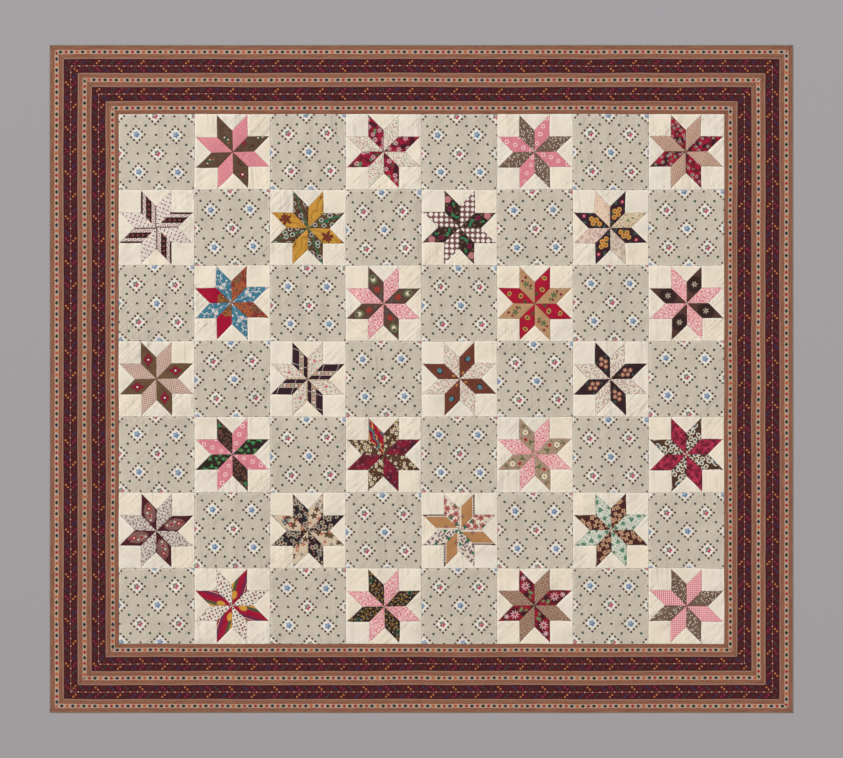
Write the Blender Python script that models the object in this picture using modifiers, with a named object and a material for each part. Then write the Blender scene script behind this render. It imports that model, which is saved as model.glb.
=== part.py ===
"""Pieced star quilt hung on a wooden pole through a sleeve on its back.

The pole's axis at mid length is the origin, +X runs along the pole, +Z is up and the
quilt's face looks along -Y. The top is 28 eight-pointed stars set in seven rows with
printed squares between them, inside a mitred striped border. Batting and a backing in
three lengths lie behind it, a tape binds the edge, and a cloth sleeve takes the pole.
"""

import math

import bmesh
import bpy
from mathutils import Matrix, Vector

GAP = 0.0003  # left between pieces that are sewn together or lie on each other

BLOCK = 0.254  # finished side of a block, 10 inches
COLUMNS = 8
ROWS = 7
BORDER = 0.232  # from the outermost block seam to the quilt's edge
TIP_INSET = 0.004  # a star's points stop this far inside its block

TOP_THICK = 0.0008
BATTING_THICK = 0.0024
BACKING_THICK = 0.0006
BACKING_LENGTHS = ("left", "middle", "right")
BINDING_THICK = 0.0006
BINDING_ON_FACE = 0.006  # how far the tape laps onto the face
BINDING_ON_BACK = 0.010  # how far it laps onto the back

POLE_RADIUS = 0.016
POLE_INSET = 0.023  # pole's ends stop this far inside the quilt's sides
POLE_CHAMFER = 0.0015
POLE_SIDES = 64
POLE_SLACK = 0.0005  # between the pole and the inside of the sleeve
SLEEVE_INSET = 0.048  # sleeve's ends stop this far inside the quilt's sides
SLEEVE_THICK = 0.0006
SLEEVE_ABOVE = 0.022  # sleeve's top seam above the pole's axis
SLEEVE_BELOW = 0.080  # sleeve's bottom seam below the pole's axis
SLEEVE_STEPS = 28  # straight stretches round the pole
EDGE_ABOVE = 0.060  # quilt's top edge above the pole's axis

FIELD_WIDTH = COLUMNS * BLOCK
FIELD_HEIGHT = ROWS * BLOCK
WIDTH = FIELD_WIDTH + 2 * BORDER
HEIGHT = FIELD_HEIGHT + 2 * BORDER
MIDDLE_Z = EDGE_ABOVE - HEIGHT / 2
POLE_LENGTH = WIDTH - 2 * POLE_INSET
SLEEVE_LENGTH = WIDTH - 2 * SLEEVE_INSET
CUT_WIDTH = WIDTH - 2 * (BINDING_THICK + GAP)  # of the layers inside the binding
CUT_HEIGHT = HEIGHT - 2 * (BINDING_THICK + GAP)

# Depths of the layers, from the pole forwards to the quilt's face.
SLEEVE_BORE = POLE_RADIUS + POLE_SLACK
BACKING_BACK = -(SLEEVE_BORE + SLEEVE_THICK + GAP)
BACKING_FRONT = BACKING_BACK - BACKING_THICK
BATTING_BACK = BACKING_FRONT - GAP
BATTING_FRONT = BATTING_BACK - BATTING_THICK
TOP_BACK = BATTING_FRONT - GAP
TOP_FRONT = TOP_BACK - TOP_THICK

MUSLIN = (0.84, 0.77, 0.63)
BORDER_TAN = (0.45, 0.19, 0.09)
TAPE_BROWN = (0.28, 0.20, 0.14)
BATTING_WHITE = (0.80, 0.76, 0.66)
SLEEVE_CLOTH = (0.78, 0.72, 0.60)
POLE_WOOD = (0.46, 0.29, 0.15)
PRINTS = {
    "brown": (0.13, 0.07, 0.05), "black brown": (0.03, 0.01, 0.02),
    "rust": (0.16, 0.03, 0.02), "tan": (0.48, 0.26, 0.12), "taupe": (0.27, 0.18, 0.14),
    "crimson": (0.43, 0.01, 0.03), "burgundy": (0.19, 0.01, 0.03),
    "pink": (0.74, 0.24, 0.29), "teal": (0.05, 0.18, 0.26), "green": (0.04, 0.07, 0.04),
}
# The darker print of each star, left to right, row by row from the top.
STAR_PRINTS = (
    ("brown", "crimson", "taupe", "crimson"),
    ("black brown", "green", "green", "brown"),
    ("teal", "brown", "crimson", "brown"),
    ("brown", "black brown", "rust", "black brown"),
    ("green", "crimson", "pink", "crimson"),
    ("brown", "black brown", "tan", "brown"),
    ("burgundy", "black brown", "burgundy", "pink"),
)


def clear_scene():
    """Removes every object that the file starts with."""
    for obj in list(bpy.data.objects):
        bpy.data.objects.remove(obj, do_unlink=True)


def new_material(name, colour, roughness):
    """A Principled material of one colour."""
    material = bpy.data.materials.new(name)
    material.use_nodes = True
    shader = material.node_tree.nodes["Principled BSDF"]
    shader.inputs["Base Color"].default_value = (*colour, 1.0)
    shader.inputs["Roughness"].default_value = roughness
    material.diffuse_color = (*colour, 1.0)
    return material


def outline_curve(name, outlines, thickness, colour):
    """A flat shape filled between closed outlines, with half its thickness each way."""
    curve = bpy.data.curves.new(name, "CURVE")
    curve.dimensions = "2D"
    curve.fill_mode = "BOTH"
    curve.extrude = thickness / 2
    for outline in outlines:
        spline = curve.splines.new("POLY")
        spline.points.add(len(outline) - 1)
        for point, (across, up) in zip(spline.points, outline):
            point.co = (across, up, 0.0, 1.0)
        spline.use_cyclic_u = True
    curve.materials.append(new_material(name, colour, roughness=0.9))
    piece = bpy.data.objects.new(name, curve)
    quilt.objects.link(piece)
    return piece


def cloth_layer(name, outlines, front, back, colour):
    """A flat piece of cloth between two depths, from outlines in (x, z)."""
    piece = outline_curve(name, outlines, back - front, colour)
    piece.location = (0.0, (front + back) / 2, 0.0)
    piece.rotation_euler = (math.pi / 2, 0.0, 0.0)


def rectangle(left, right, bottom, top):
    """Outline of an upright rectangle."""
    return [(left, bottom), (right, bottom), (right, top), (left, top)]


def block_centre(row, column):
    """Centre of a block in (x, z); rows count down and columns right, both from 1."""
    x = (column - 0.5) * BLOCK - FIELD_WIDTH / 2
    z = MIDDLE_Z + FIELD_HEIGHT / 2 - (row - 0.5) * BLOCK
    return x, z


def star_columns(row):
    """Stars and printed squares alternate, and each row starts the other way."""
    return range(2 - (row + 1) % 2, COLUMNS + 1, 2)


def star_outline(row, column, clearance=0.0):
    """Outline of eight diamonds that meet at the block's centre.

    A diamond's side reaches from the centre to a notch. Its point lies where its two
    outer sides meet, and every outer side is side * sqrt(1/2) from the centre.
    """
    centre_x, centre_z = block_centre(row, column)
    side = (BLOCK / 2 - TIP_INSET) / (1 + math.sqrt(0.5)) + clearance / math.sqrt(0.5)
    reach = 2 * side * math.cos(math.pi / 8)
    outline = []
    for corner in range(16):
        angle = corner * math.pi / 8
        distance = reach if corner % 2 else side
        outline.append((centre_x + distance * math.cos(angle),
                        centre_z + distance * math.sin(angle)))
    return outline


def make_stars():
    """Stars of eight diamonds, each a little smaller than its opening in the row."""
    for row in range(1, ROWS + 1):
        for column, colour in zip(star_columns(row), STAR_PRINTS[row - 1]):
            cloth_layer(f"star_r{row}c{column}", [star_outline(row, column)],
                        TOP_FRONT, TOP_BACK, PRINTS[colour])


def make_rows():
    """Strips of printed squares and muslin patches, open where the stars go."""
    for row in range(1, ROWS + 1):
        middle = block_centre(row, 1)[1]
        half_width, half_height = (FIELD_WIDTH - GAP) / 2, (BLOCK - GAP) / 2
        strip = rectangle(-half_width, half_width, middle - half_height,
                          middle + half_height)
        openings = [star_outline(row, column, GAP) for column in star_columns(row)]
        cloth_layer(f"row_{row}", [strip, *openings], TOP_FRONT, TOP_BACK, MUSLIN)


def make_borders():
    """Four striped strips, mitred where they meet at the corners."""
    inner = Vector((FIELD_WIDTH + GAP, FIELD_HEIGHT + GAP)) / 2
    outer = Vector((CUT_WIDTH, CUT_HEIGHT)) / 2
    mitre = GAP * math.sqrt(0.5)
    level = [(-inner.x + mitre, inner.y), (inner.x - mitre, inner.y),
             (outer.x - mitre, outer.y), (-outer.x + mitre, outer.y)]
    upright = [(inner.x, -inner.y + mitre), (inner.x, inner.y - mitre),
               (outer.x, outer.y - mitre), (outer.x, -outer.y + mitre)]
    for name, shape, turn in (("top", level, 1), ("bottom", level, -1),
                              ("right", upright, 1), ("left", upright, -1)):
        outline = [(turn * x, MIDDLE_Z + turn * z) for x, z in shape]
        cloth_layer(f"border_{name}", [outline], TOP_FRONT, TOP_BACK, BORDER_TAN)


def make_filling():
    """The batting in one sheet, and the backing in lengths sewn side by side."""
    right, bottom, top = CUT_WIDTH / 2, MIDDLE_Z - CUT_HEIGHT / 2, MIDDLE_Z + CUT_HEIGHT / 2
    cloth_layer("batting", [rectangle(-right, right, bottom, top)],
                BATTING_FRONT, BATTING_BACK, BATTING_WHITE)
    length = (CUT_WIDTH + GAP) / len(BACKING_LENGTHS)
    for index, name in enumerate(BACKING_LENGTHS):
        left = -right + index * length
        cloth_layer(f"backing_{name}", [rectangle(left, left + length - GAP, bottom, top)],
                    BACKING_FRONT, BACKING_BACK, MUSLIN)


def make_binding():
    """Tape folded over the edge, in four lengths mitred at the corners."""
    front = TOP_FRONT - GAP - BINDING_THICK
    back = BACKING_BACK + GAP + BINDING_THICK
    # Depth and distance in from the edge, round the folded tape.
    section = [
        (front, 0.0), (front, -BINDING_ON_FACE),
        (front + BINDING_THICK, -BINDING_ON_FACE), (front + BINDING_THICK, -BINDING_THICK),
        (back - BINDING_THICK, -BINDING_THICK), (back - BINDING_THICK, -BINDING_ON_BACK),
        (back, -BINDING_ON_BACK), (back, 0.0),
    ]
    sides = (("top", 0, WIDTH, HEIGHT), ("right", 1, HEIGHT, WIDTH),
             ("bottom", 2, WIDTH, HEIGHT), ("left", 3, HEIGHT, WIDTH))
    for name, quarter_turns, length, across in sides:
        curve = outline_curve(f"binding_{name}", [section], length, TAPE_BROWN)
        strip = mesh_from_curve(curve)
        for corner in strip.data.vertices:
            # A mitred end is shorter by as much as the corner lies in from the edge.
            end = length / 2 + corner.co.y - GAP * math.sqrt(0.5)
            corner.co.z = math.copysign(end, corner.co.z)
        turn = Matrix.Rotation(quarter_turns * math.pi / 2, 4, "Y")
        strip.matrix_world = (Matrix.Translation((0.0, 0.0, MIDDLE_Z)) @ turn
                              @ Matrix.Translation((0.0, 0.0, across / 2)) @ ALONG_X)


def mesh_from_curve(curve):
    """The curve's object again as a mesh, with its caps welded to its sides."""
    bpy.context.view_layer.update()
    graph = bpy.context.evaluated_depsgraph_get()
    mesh = bpy.data.meshes.new_from_object(curve.evaluated_get(graph))
    shape = bmesh.new()
    shape.from_mesh(mesh)
    bmesh.ops.remove_doubles(shape, verts=shape.verts, dist=GAP / 10)
    shape.to_mesh(mesh)
    shape.free()
    name = curve.name
    bpy.data.objects.remove(curve, do_unlink=True)
    piece = bpy.data.objects.new(name, mesh)
    quilt.objects.link(piece)
    return piece


def sleeve_loop(bore, above, below):
    """Section of the sleeve in (y, z): flat on the backing, round behind the pole.

    The cloth leaves the pole's round along the tangents from the two sewn edges.
    """
    start = math.pi - 2 * math.atan2(above, bore)
    end = -math.pi + 2 * math.atan2(below, bore)
    loop = [(-bore, above)]
    for step in range(SLEEVE_STEPS + 1):
        angle = start + (end - start) * step / SLEEVE_STEPS
        loop.append((bore * math.cos(angle), bore * math.sin(angle)))
    loop.append((-bore, -below))
    return loop


def make_sleeve():
    """A cloth tube sewn to the backing, drawn out into a loop round the pole."""
    inside = sleeve_loop(SLEEVE_BORE, SLEEVE_ABOVE, SLEEVE_BELOW)
    # The two sewn edges are creased folds, so they stand out further than the cloth.
    outside = sleeve_loop(SLEEVE_BORE + SLEEVE_THICK, SLEEVE_ABOVE + 2 * SLEEVE_THICK,
                          SLEEVE_BELOW + 5 * SLEEVE_THICK)
    sleeve = outline_curve("sleeve", [outside, inside], SLEEVE_LENGTH, SLEEVE_CLOTH)
    sleeve.matrix_world = ALONG_X


def make_pole():
    """A round wooden pole, its two ends eased with a small chamfer."""
    shape = bmesh.new()
    bmesh.ops.create_cone(shape, cap_ends=True, segments=POLE_SIDES, radius1=POLE_RADIUS,
                          radius2=POLE_RADIUS, depth=POLE_LENGTH)
    mesh = bpy.data.meshes.new("pole")
    shape.to_mesh(mesh)
    shape.free()
    mesh.shade_smooth()
    mesh.set_sharp_from_angle(angle=math.radians(30))
    mesh.materials.append(new_material("pole", POLE_WOOD, roughness=0.5))
    pole = bpy.data.objects.new("pole", mesh)
    pole.matrix_world = ALONG_X
    quilt.objects.link(pole)
    chamfer = pole.modifiers.new("Chamfer", "BEVEL")
    chamfer.width = POLE_CHAMFER
    chamfer.segments = 1
    chamfer.limit_method = "ANGLE"
    chamfer.angle_limit = math.radians(60)


# Turns a section drawn in (y, z) and extruded upwards so that it runs along the pole.
ALONG_X = Matrix(((0, 0, 1, 0), (1, 0, 0, 0), (0, 1, 0, 0), (0, 0, 0, 1)))

clear_scene()
quilt = bpy.data.collections.new("star_quilt_on_pole")
bpy.context.scene.collection.children.link(quilt)
make_stars()
make_rows()
make_borders()
make_filling()
make_binding()
make_sleeve()
make_pole()
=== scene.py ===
"""Looks of the pieced star quilt that hangs on a wooden pole through its back sleeve."""

import math

import bmesh
import bpy
from mathutils import Matrix, Vector, noise


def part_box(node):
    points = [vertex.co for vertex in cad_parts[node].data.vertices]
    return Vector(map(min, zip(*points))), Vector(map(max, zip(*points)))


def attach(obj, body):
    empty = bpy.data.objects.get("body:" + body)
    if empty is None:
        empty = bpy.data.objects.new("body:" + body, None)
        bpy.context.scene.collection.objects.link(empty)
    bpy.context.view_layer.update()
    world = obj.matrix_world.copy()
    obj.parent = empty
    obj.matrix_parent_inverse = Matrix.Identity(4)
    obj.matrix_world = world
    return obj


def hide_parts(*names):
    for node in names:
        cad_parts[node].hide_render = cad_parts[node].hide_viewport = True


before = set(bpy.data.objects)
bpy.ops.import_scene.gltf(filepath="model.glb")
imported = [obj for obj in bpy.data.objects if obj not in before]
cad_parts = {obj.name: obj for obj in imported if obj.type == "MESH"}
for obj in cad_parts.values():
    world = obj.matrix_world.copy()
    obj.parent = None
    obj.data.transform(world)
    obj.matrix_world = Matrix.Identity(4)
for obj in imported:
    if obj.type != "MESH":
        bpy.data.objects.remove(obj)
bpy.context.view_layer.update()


# ---------------------------------------------------------------- studio
# The quilt hangs in front of a plain grey wall over a pale floor. The camera looks
# square at its face from the height of its middle, and the lamps are large and soft.

quilt_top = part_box("binding_top")[1].z
quilt_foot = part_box("binding_bottom")[0].z
quilt_middle = (quilt_top + quilt_foot) / 2
face_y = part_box("border_top")[0].y

VIEW_WIDTH = 2.828  # what the camera sees across, at the quilt's face
LENS = 100.0
SENSOR = 36.0
camera_data = bpy.data.cameras.new("camera")
camera_data.lens = LENS
camera_data.sensor_width = SENSOR
camera = bpy.data.objects.new("camera", camera_data)
camera.location = (0.0, face_y - VIEW_WIDTH * LENS / SENSOR, quilt_middle)
camera.rotation_euler = (math.radians(90), 0.0, 0.0)
bpy.context.collection.objects.link(camera)
bpy.context.scene.camera = camera
bpy.context.scene.view_settings.view_transform = "Standard"

WALL_BEHIND = 0.9
FLOOR_BELOW = 0.42


def dye(red, green, blue):
    """A colour given from 0 to 255 as on a shade card, in the linear values of a shader."""
    levels = [channel / 255 for channel in (red, green, blue)]
    return tuple(level / 12.92 if level <= 0.04045 else ((level + 0.055) / 1.055) ** 2.4
                 for level in levels) + (1.0,)


class Signal:
    """What comes out of a shader node. Numbers add and multiply as in plain arithmetic."""

    def __init__(self, tree, socket):
        self.tree, self.socket = tree, socket

    def into(self, socket):
        """Links it to an input."""
        self.tree.links.new(self.socket, socket)

    def step(self, operation, *others):
        """The result of a step of arithmetic, by Blender's name for it."""
        return calc(self.tree, operation, self, *others)

    def scaled(self, factor, more):
        """The number times a factor, with more added."""
        return self.step("MULTIPLY_ADD", factor, more)

    def clamped(self):
        """The result of this step, kept from 0 to 1."""
        self.socket.node.use_clamp = True
        return self

    def __add__(self, other):
        return self.step("ADD", other)

    def __sub__(self, other):
        return self.step("SUBTRACT", other)

    def __rsub__(self, other):
        return calc(self.tree, "SUBTRACT", other, self)

    def __mul__(self, other):
        return self.step("MULTIPLY", other)

    def __truediv__(self, other):
        return self.step("DIVIDE", other)

    def __rtruediv__(self, other):
        return calc(self.tree, "DIVIDE", other, self)


class Placed:
    """A node in its tree, which gives its outputs by name or number."""

    def __init__(self, tree, node):
        self.tree, self.node = tree, node

    def __getitem__(self, key):
        return Signal(self.tree, self.node.outputs[key])

    def feed(self, inputs):
        """Sets a value, or links another node's output, on each input."""
        for key, value in inputs.items():
            if isinstance(value, Signal):
                value.into(self.node.inputs[key])
            else:
                self.node.inputs[key].default_value = value
        return self


def place(tree, kind, inputs=None, **settings):
    """A new node with its settings and inputs."""
    made = Placed(tree, tree.nodes.new(kind))
    for name, value in settings.items():
        setattr(made.node, name, value)
    return made.feed(inputs or {})


def calc(tree, operation, *values):
    """One step of arithmetic."""
    return place(tree, "ShaderNodeMath", dict(enumerate(values)), operation=operation)[0]


def mixed(tree, factor, first, second, blend="MIX"):
    """A mix of two colours."""
    return place(tree, "ShaderNodeMix", {0: factor, 6: first, 7: second},
                 data_type="RGBA", blend_type=blend)[2]


def clouds(tree, at, scale, detail=2.0, stretch=None, **more):
    """Soft noise from 0 to 1, drawn out along each axis by a stretch of its own."""
    if stretch:
        at = place(tree, "ShaderNodeMapping", {"Vector": at, "Scale": stretch})[0]
    return place(tree, "ShaderNodeTexNoise", {"Vector": at, "Scale": scale, "Detail": detail,
                                              **more})["Fac"]


def new_material(name):
    """A material, with its tree and its main shader."""
    material = bpy.data.materials.new(name)
    material.use_nodes = True
    tree = material.node_tree
    return material, tree, Placed(tree, tree.nodes["Principled BSDF"])


def add_object(name, data):
    """A new object of the scene from a mesh or a lamp, or from a drawn shape."""
    if isinstance(data, bmesh.types.BMesh):
        shape, data = data, bpy.data.meshes.new(name)
        shape.to_mesh(data)
        shape.free()
    made = bpy.data.objects.new(name, data)
    bpy.context.collection.objects.link(made)
    return made


def studio_sheet(name, corners, low_colour, high_colour, glow):
    """A plain flat surface of the studio, which is seen from its front only."""
    shape = bmesh.new()
    shape.faces.new([shape.verts.new(corner) for corner in corners])
    surface = add_object(name, shape)
    surface.visible_shadow = False
    material, tree, shader = new_material(name)
    surface.data.materials.append(material)
    at = place(tree, "ShaderNodeTexCoord")["Object"]
    cloud = clouds(tree, at, 0.6)
    height = place(tree, "ShaderNodeSeparateXYZ", {0: at})[2]
    up = (height.scaled(0.3, 0.85) + cloud.scaled(0.2, -0.1)).clamped()
    colour = mixed(tree, up, low_colour, high_colour)
    shader.feed({"Roughness": 1.0, "Specular IOR Level": 0.0})
    # A lit paper wall has no shadow on it, so it shines by itself.
    shader.feed({"Base Color": (0, 0, 0, 1), "Emission Color": colour,
                 "Emission Strength": 1.0} if glow else {"Base Color": colour})
    # From behind, the sheet is clear, so that the quilt's back can be seen through it.
    clear = place(tree, "ShaderNodeBsdfTransparent")[0]
    behind = place(tree, "ShaderNodeNewGeometry")["Backfacing"]
    either = place(tree, "ShaderNodeMixShader", {0: behind, 1: shader[0], 2: clear})
    either[0].into(tree.nodes["Material Output"].inputs["Surface"])


floor_z = quilt_foot - FLOOR_BELOW
studio_sheet("wall", [(-9, WALL_BEHIND, floor_z), (9, WALL_BEHIND, floor_z),
                      (9, WALL_BEHIND, 7), (-9, WALL_BEHIND, 7)],
             dye(160, 156, 158), dye(166, 161, 164), True)
studio_sheet("floor", [(-9, -9, floor_z), (9, -9, floor_z), (9, 9, floor_z),
                       (-9, 9, floor_z)], dye(200, 197, 195), dye(206, 203, 200), False)


def lamp(name, location, aim, size, watts):
    """A soft square lamp that looks at a point."""
    data = bpy.data.lights.new(name, "AREA")
    data.size = size
    data.energy = watts
    made = add_object(name, data)
    made.location = location
    made.rotation_euler = (Vector(aim) - Vector(location)).to_track_quat("-Z", "Y").to_euler()


lamp("key", (-10.5, -8.0, 7.0), (0.3, 0, quilt_middle - 0.2), 2.4, 1380)
lamp("fill", (4.2, -7.6, -1.6), (0.7, 0, quilt_middle - 0.5), 4.0, 178)
lamp("back", (2.4, 5.4, 1.8), (0, 0, quilt_middle), 3.0, 240)
world = bpy.data.worlds.new("studio")
world.use_nodes = True
world.node_tree.nodes["Background"].inputs["Color"].default_value = dye(238, 238, 242)
world.node_tree.nodes["Background"].inputs["Strength"].default_value = 0.45
bpy.context.scene.world = world


# ---------------------------------------------------------------- how the quilt hangs
# The whole quilt is one soft sheet held by its sleeve. A cloth simulation lets it settle
# under its own weight, and every layer is then made on the surface that this gives.

cut_left, cut_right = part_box("batting")[0].x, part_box("batting")[1].x
cut_foot, cut_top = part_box("batting")[0].z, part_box("batting")[1].z
pole_z = (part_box("pole")[0].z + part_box("pole")[1].z) / 2
SHEET_CELLS = (64, 56)
SETTLE_FRAMES = 45
TAKEN_IN = 0.9965  # the sleeve holds the sheet this much narrower than it is cut
MOST_FALL = 0.008
HELD_BELOW = 0.10  # the sleeve's grip reaches this far below the pole


def settle_sheet():
    """How far each point of a grid over the quilt hangs in front of or behind flat."""
    across, down = SHEET_CELLS
    shape = bmesh.new()
    bmesh.ops.create_grid(shape, x_segments=across, y_segments=down, size=0.5)
    held = []
    for vert in shape.verts:
        x = cut_left + (vert.co.x + 0.5) * (cut_right - cut_left)
        z = cut_foot + (vert.co.y + 0.5) * (cut_top - cut_foot)
        ripple = noise.noise(Vector((x * 2.6, 0.3, z * 0.5)))
        vert.co = (x, 0.004 * ripple, z)
        if pole_z - 0.09 < z < pole_z + 0.03:
            vert.co = (x * TAKEN_IN, 0.0, z)
            held.append(vert.index)
    sheet = add_object("settling", shape)
    sheet.vertex_groups.new(name="held").add(held, 1.0, "REPLACE")
    cloth = sheet.modifiers.new("cloth", "CLOTH")
    for setting, value in {
            "vertex_group_mass": "held", "quality": 6, "mass": 0.03,
            "tension_stiffness": 30, "compression_stiffness": 30,
            "shear_stiffness": 10, "bending_stiffness": 4, "air_damping": 6}.items():
        setattr(cloth.settings, setting, value)
    cloth.collision_settings.use_collision = False
    cloth.point_cache.frame_end = SETTLE_FRAMES
    for step in range(1, SETTLE_FRAMES + 1):
        bpy.context.scene.frame_set(step)
    settled = sheet.evaluated_get(bpy.context.evaluated_depsgraph_get()).data
    fall = [[0.0] * (down + 1) for _ in range(across + 1)]
    for vert in settled.vertices:
        row, column = divmod(vert.index, across + 1)
        fall[column][row] = max(-MOST_FALL, min(MOST_FALL, vert.co.y))
    bpy.data.objects.remove(sheet, do_unlink=True)
    bpy.context.scene.frame_set(1)
    return fall


fall = settle_sheet()
CREASES = (  # fold lines left by storage: across x or down z, where, how deep, how wide
    ("x", -0.629, 0.0016, 0.011), ("x", 0.004, -0.0026, 0.010), ("x", 0.616, 0.0016, 0.011),
    ("z", quilt_middle, 0.0018, 0.012), ("z", quilt_middle + 0.56, -0.0011, 0.012),
    ("z", quilt_middle - 0.56, -0.0011, 0.012),
)


def freedom(z):
    """0 where the sleeve holds the quilt, rising to 1 where it hangs by itself."""
    return min(max((pole_z - HELD_BELOW - z) / 0.12, 0.0), 1.0)


def hang(x, z):
    """How far the quilt lies behind flat at a point of its face."""
    across, down = SHEET_CELLS
    u = min(max((x - cut_left) / (cut_right - cut_left), 0.0), 0.9999) * across
    v = min(max((z - cut_foot) / (cut_top - cut_foot), 0.0), 0.9999) * down
    column, row = int(u), int(v)
    u, v = u - column, v - row
    u, v = u * u * (3 - 2 * u), v * v * (3 - 2 * v)
    left = fall[column][row] * (1 - v) + fall[column][row + 1] * v
    right = fall[column + 1][row] * (1 - v) + fall[column + 1][row + 1] * v
    depth = left * (1 - u) + right * u
    for axis, where, deep, wide in CREASES:
        off = ((x if axis == "x" else z) - where) / wide
        depth -= freedom(z) * deep * math.exp(-off * off)
    return depth


def rumple(x, z):
    """Small slack of a pieced top between its seams, mostly upright folds."""
    fold = noise.noise(Vector((x * 34, 1.7, z * 4.5)))
    pull = noise.noise(Vector((x * 11 + z * 7, 5.1, z * 12 - x * 4)))
    much = 0.55 + 0.75 * noise.noise(Vector((x * 3.1, 9.4, z * 3.1)))
    return 0.0015 * fold * max(much, 0.15) + 0.0011 * pull


# ---------------------------------------------------------------- pole
# A hardwood dowel, planed and sanded and left with a thin satin finish. It lies loose in
# the sleeve, and only its two ends show past the cloth.

POLE_WOOD = (dye(178, 134, 88), dye(142, 98, 58), dye(104, 68, 38))


def wood_material():
    """Straight grain along X, with fine dark pores."""
    material, tree, shader = new_material("pole_wood")
    at = place(tree, "ShaderNodeTexCoord")["Object"]
    broad = clouds(tree, at, 2.0, 4.0, (1.2, 26, 26), Distortion=0.6)
    pores = clouds(tree, at, 1.0, 3.0, (9, 700, 700))
    tone = mixed(tree, broad, POLE_WOOD[1], POLE_WOOD[0])
    dark = pores.scaled(2.6, -1.15).clamped()
    tone = mixed(tree, dark * 0.55, tone, POLE_WOOD[2])
    bump = place(tree, "ShaderNodeBump", {"Height": pores, "Strength": 0.25,
                                          "Distance": 0.0006})
    shader.feed({"Base Color": tone, "Roughness": pores.scaled(0.2, 0.38),
                 "Normal": bump[0]})
    return material


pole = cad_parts["pole"]
pole.data.materials.clear()
pole.data.materials.append(wood_material())


# ---------------------------------------------------------------- backing
# Three lengths of unbleached muslin, seamed side by side, make the back. Each is one
# sheet of plain-woven cotton that hangs with the layers in front of it.

CLOTH_THICK = 0.0005
PLAIN_THREAD = 0.0011  # pitch of the weave
TURNED_EDGE = 0.0066  # the raw edge of a patch is pressed back this far from its seam


def new_group(name, inputs, outputs):
    """A shader node group, what it is given, and what it has to fill.

    A socket is a colour, a vector or a number, and a number is given as its first value.
    """
    group = bpy.data.node_groups.new(name, "ShaderNodeTree")
    kinds = {"colour": "NodeSocketColor", "vector": "NodeSocketVector"}
    for sockets, way in ((inputs, "INPUT"), (outputs, "OUTPUT")):
        for label, kind in sockets.items():
            socket = group.interface.new_socket(
                label, in_out=way, socket_type=kinds.get(kind, "NodeSocketFloat"))
            if kind == "colour":
                socket.default_value = (0.5, 0.5, 0.5, 1)
            elif kind != "vector":
                socket.default_value = kind
    return (group, Placed(group, group.nodes.new("NodeGroupInput")),
            group.nodes.new("NodeGroupOutput").inputs)


def use(tree, group, inputs):
    """A shared effect placed in a material."""
    return place(tree, "ShaderNodeGroup", node_tree=group).feed(inputs)


def weave_group():
    """Plain weave: threads that pass over and under each other, with uneven yarn."""
    group, given, out = new_group("plain_weave", {"Cloth": "vector", "Thread": PLAIN_THREAD},
                                  {"Height": 0.0, "Tone": 0.0})
    at = place(group, "ShaderNodeSeparateXYZ", {0: given["Cloth"]})
    turn = math.pi / given["Thread"]
    warp = (at[0] * turn).step("SINE")
    weft = (at[1] * turn).step("SINE")
    cross = warp * weft
    slub = clouds(group, given["Cloth"], 1.0, stretch=(60, 900, 1))
    slub_up = clouds(group, given["Cloth"], 1.0, stretch=(900, 60, 1))
    yarn = slub + slub_up
    cross.scaled(0.35, yarn).into(out["Height"])
    yarn.scaled(0.22, 0.78).into(out["Tone"])
    return group


def seam_group():
    """A patch near its seam: painted shadow as a dark line in the seam, and the turned edge
    behind it.
    """
    group, given, out = new_group("seam", {
        "Colour": "colour", "Distance": 0.02, "Turned": 0.0, "Line": 0.35},
        {"Colour": "colour"})
    near = (1.0 - given["Distance"] / 0.0011).clamped()
    under = given["Turned"] * ((TURNED_EDGE - given["Distance"]) / 0.0006).clamped()
    paler = mixed(group, under, given["Colour"], dye(250, 243, 228))
    # Painted shadow: in the last millimetre before the seam the colour is mixed towards
    # near-black, as the shade in the seam's groove.
    seam_shaded = mixed(group, near * given["Line"], paler, (0.03, 0.02, 0.02, 1))
    seam_shaded.into(out["Colour"])
    return group


def slack_group():
    """Wrinkles of cloth that hangs a little slack, upright and slanting, in some places."""
    group, given, out = new_group("slack_cloth", {"At": "vector"}, {"Height": 0.0})
    height = 0.0
    for lean, fine, long in ((0.06, 64, 8), (0.85, 78, 13), (-0.8, 70, 12)):
        leaned = place(group, "ShaderNodeVectorRotate", {"Vector": given["At"], "Angle": lean},
                       rotation_type="Y_AXIS")[0]
        fold = clouds(group, leaned, 1.0, 1.5, (fine, 1, long))
        patchy = clouds(group, leaned, 6.5)
        much = patchy.scaled(5.0, -2.1).clamped()
        height = fold.scaled(much, height)
    height.into(out["Height"])
    return group


weave = weave_group()
seam = seam_group()
slack_folds = slack_group()


def cloth_material(name, paint, bump=0.5, turned=0.0, line=0.35, slack=0.004):
    """Cotton cloth. paint draws its colours on the tree from the cloth's own coordinates."""
    material, tree, shader = new_material(name)
    at = place(tree, "ShaderNodeUVMap", uv_map="Cloth")[0]
    colour = paint(tree, at)
    woven = use(tree, weave, {"Cloth": at})
    toned = mixed(tree, 0.8, colour, woven["Tone"], "MULTIPLY")
    edge = place(tree, "ShaderNodeAttribute", attribute_name="seam")["Fac"]
    # The line argument sets how dark the painted shadow along each seam is.
    sewn = use(tree, seam, {"Colour": toned, "Distance": edge, "Turned": turned,
                            "Line": line})["Colour"]
    where = place(tree, "ShaderNodeTexCoord")["Object"]
    folds = place(tree, "ShaderNodeBump", {
        "Height": use(tree, slack_folds, {"At": where})["Height"], "Distance": slack})
    raised = place(tree, "ShaderNodeBump", {"Height": woven["Height"], "Strength": bump,
                                            "Distance": 0.0002, "Normal": folds[0]})
    shader.feed({"Base Color": sewn, "Roughness": 0.92, "Specular IOR Level": 0.25,
                 "Sheen Weight": 0.12, "Sheen Roughness": 0.5, "Normal": raised[0]})
    return material


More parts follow.
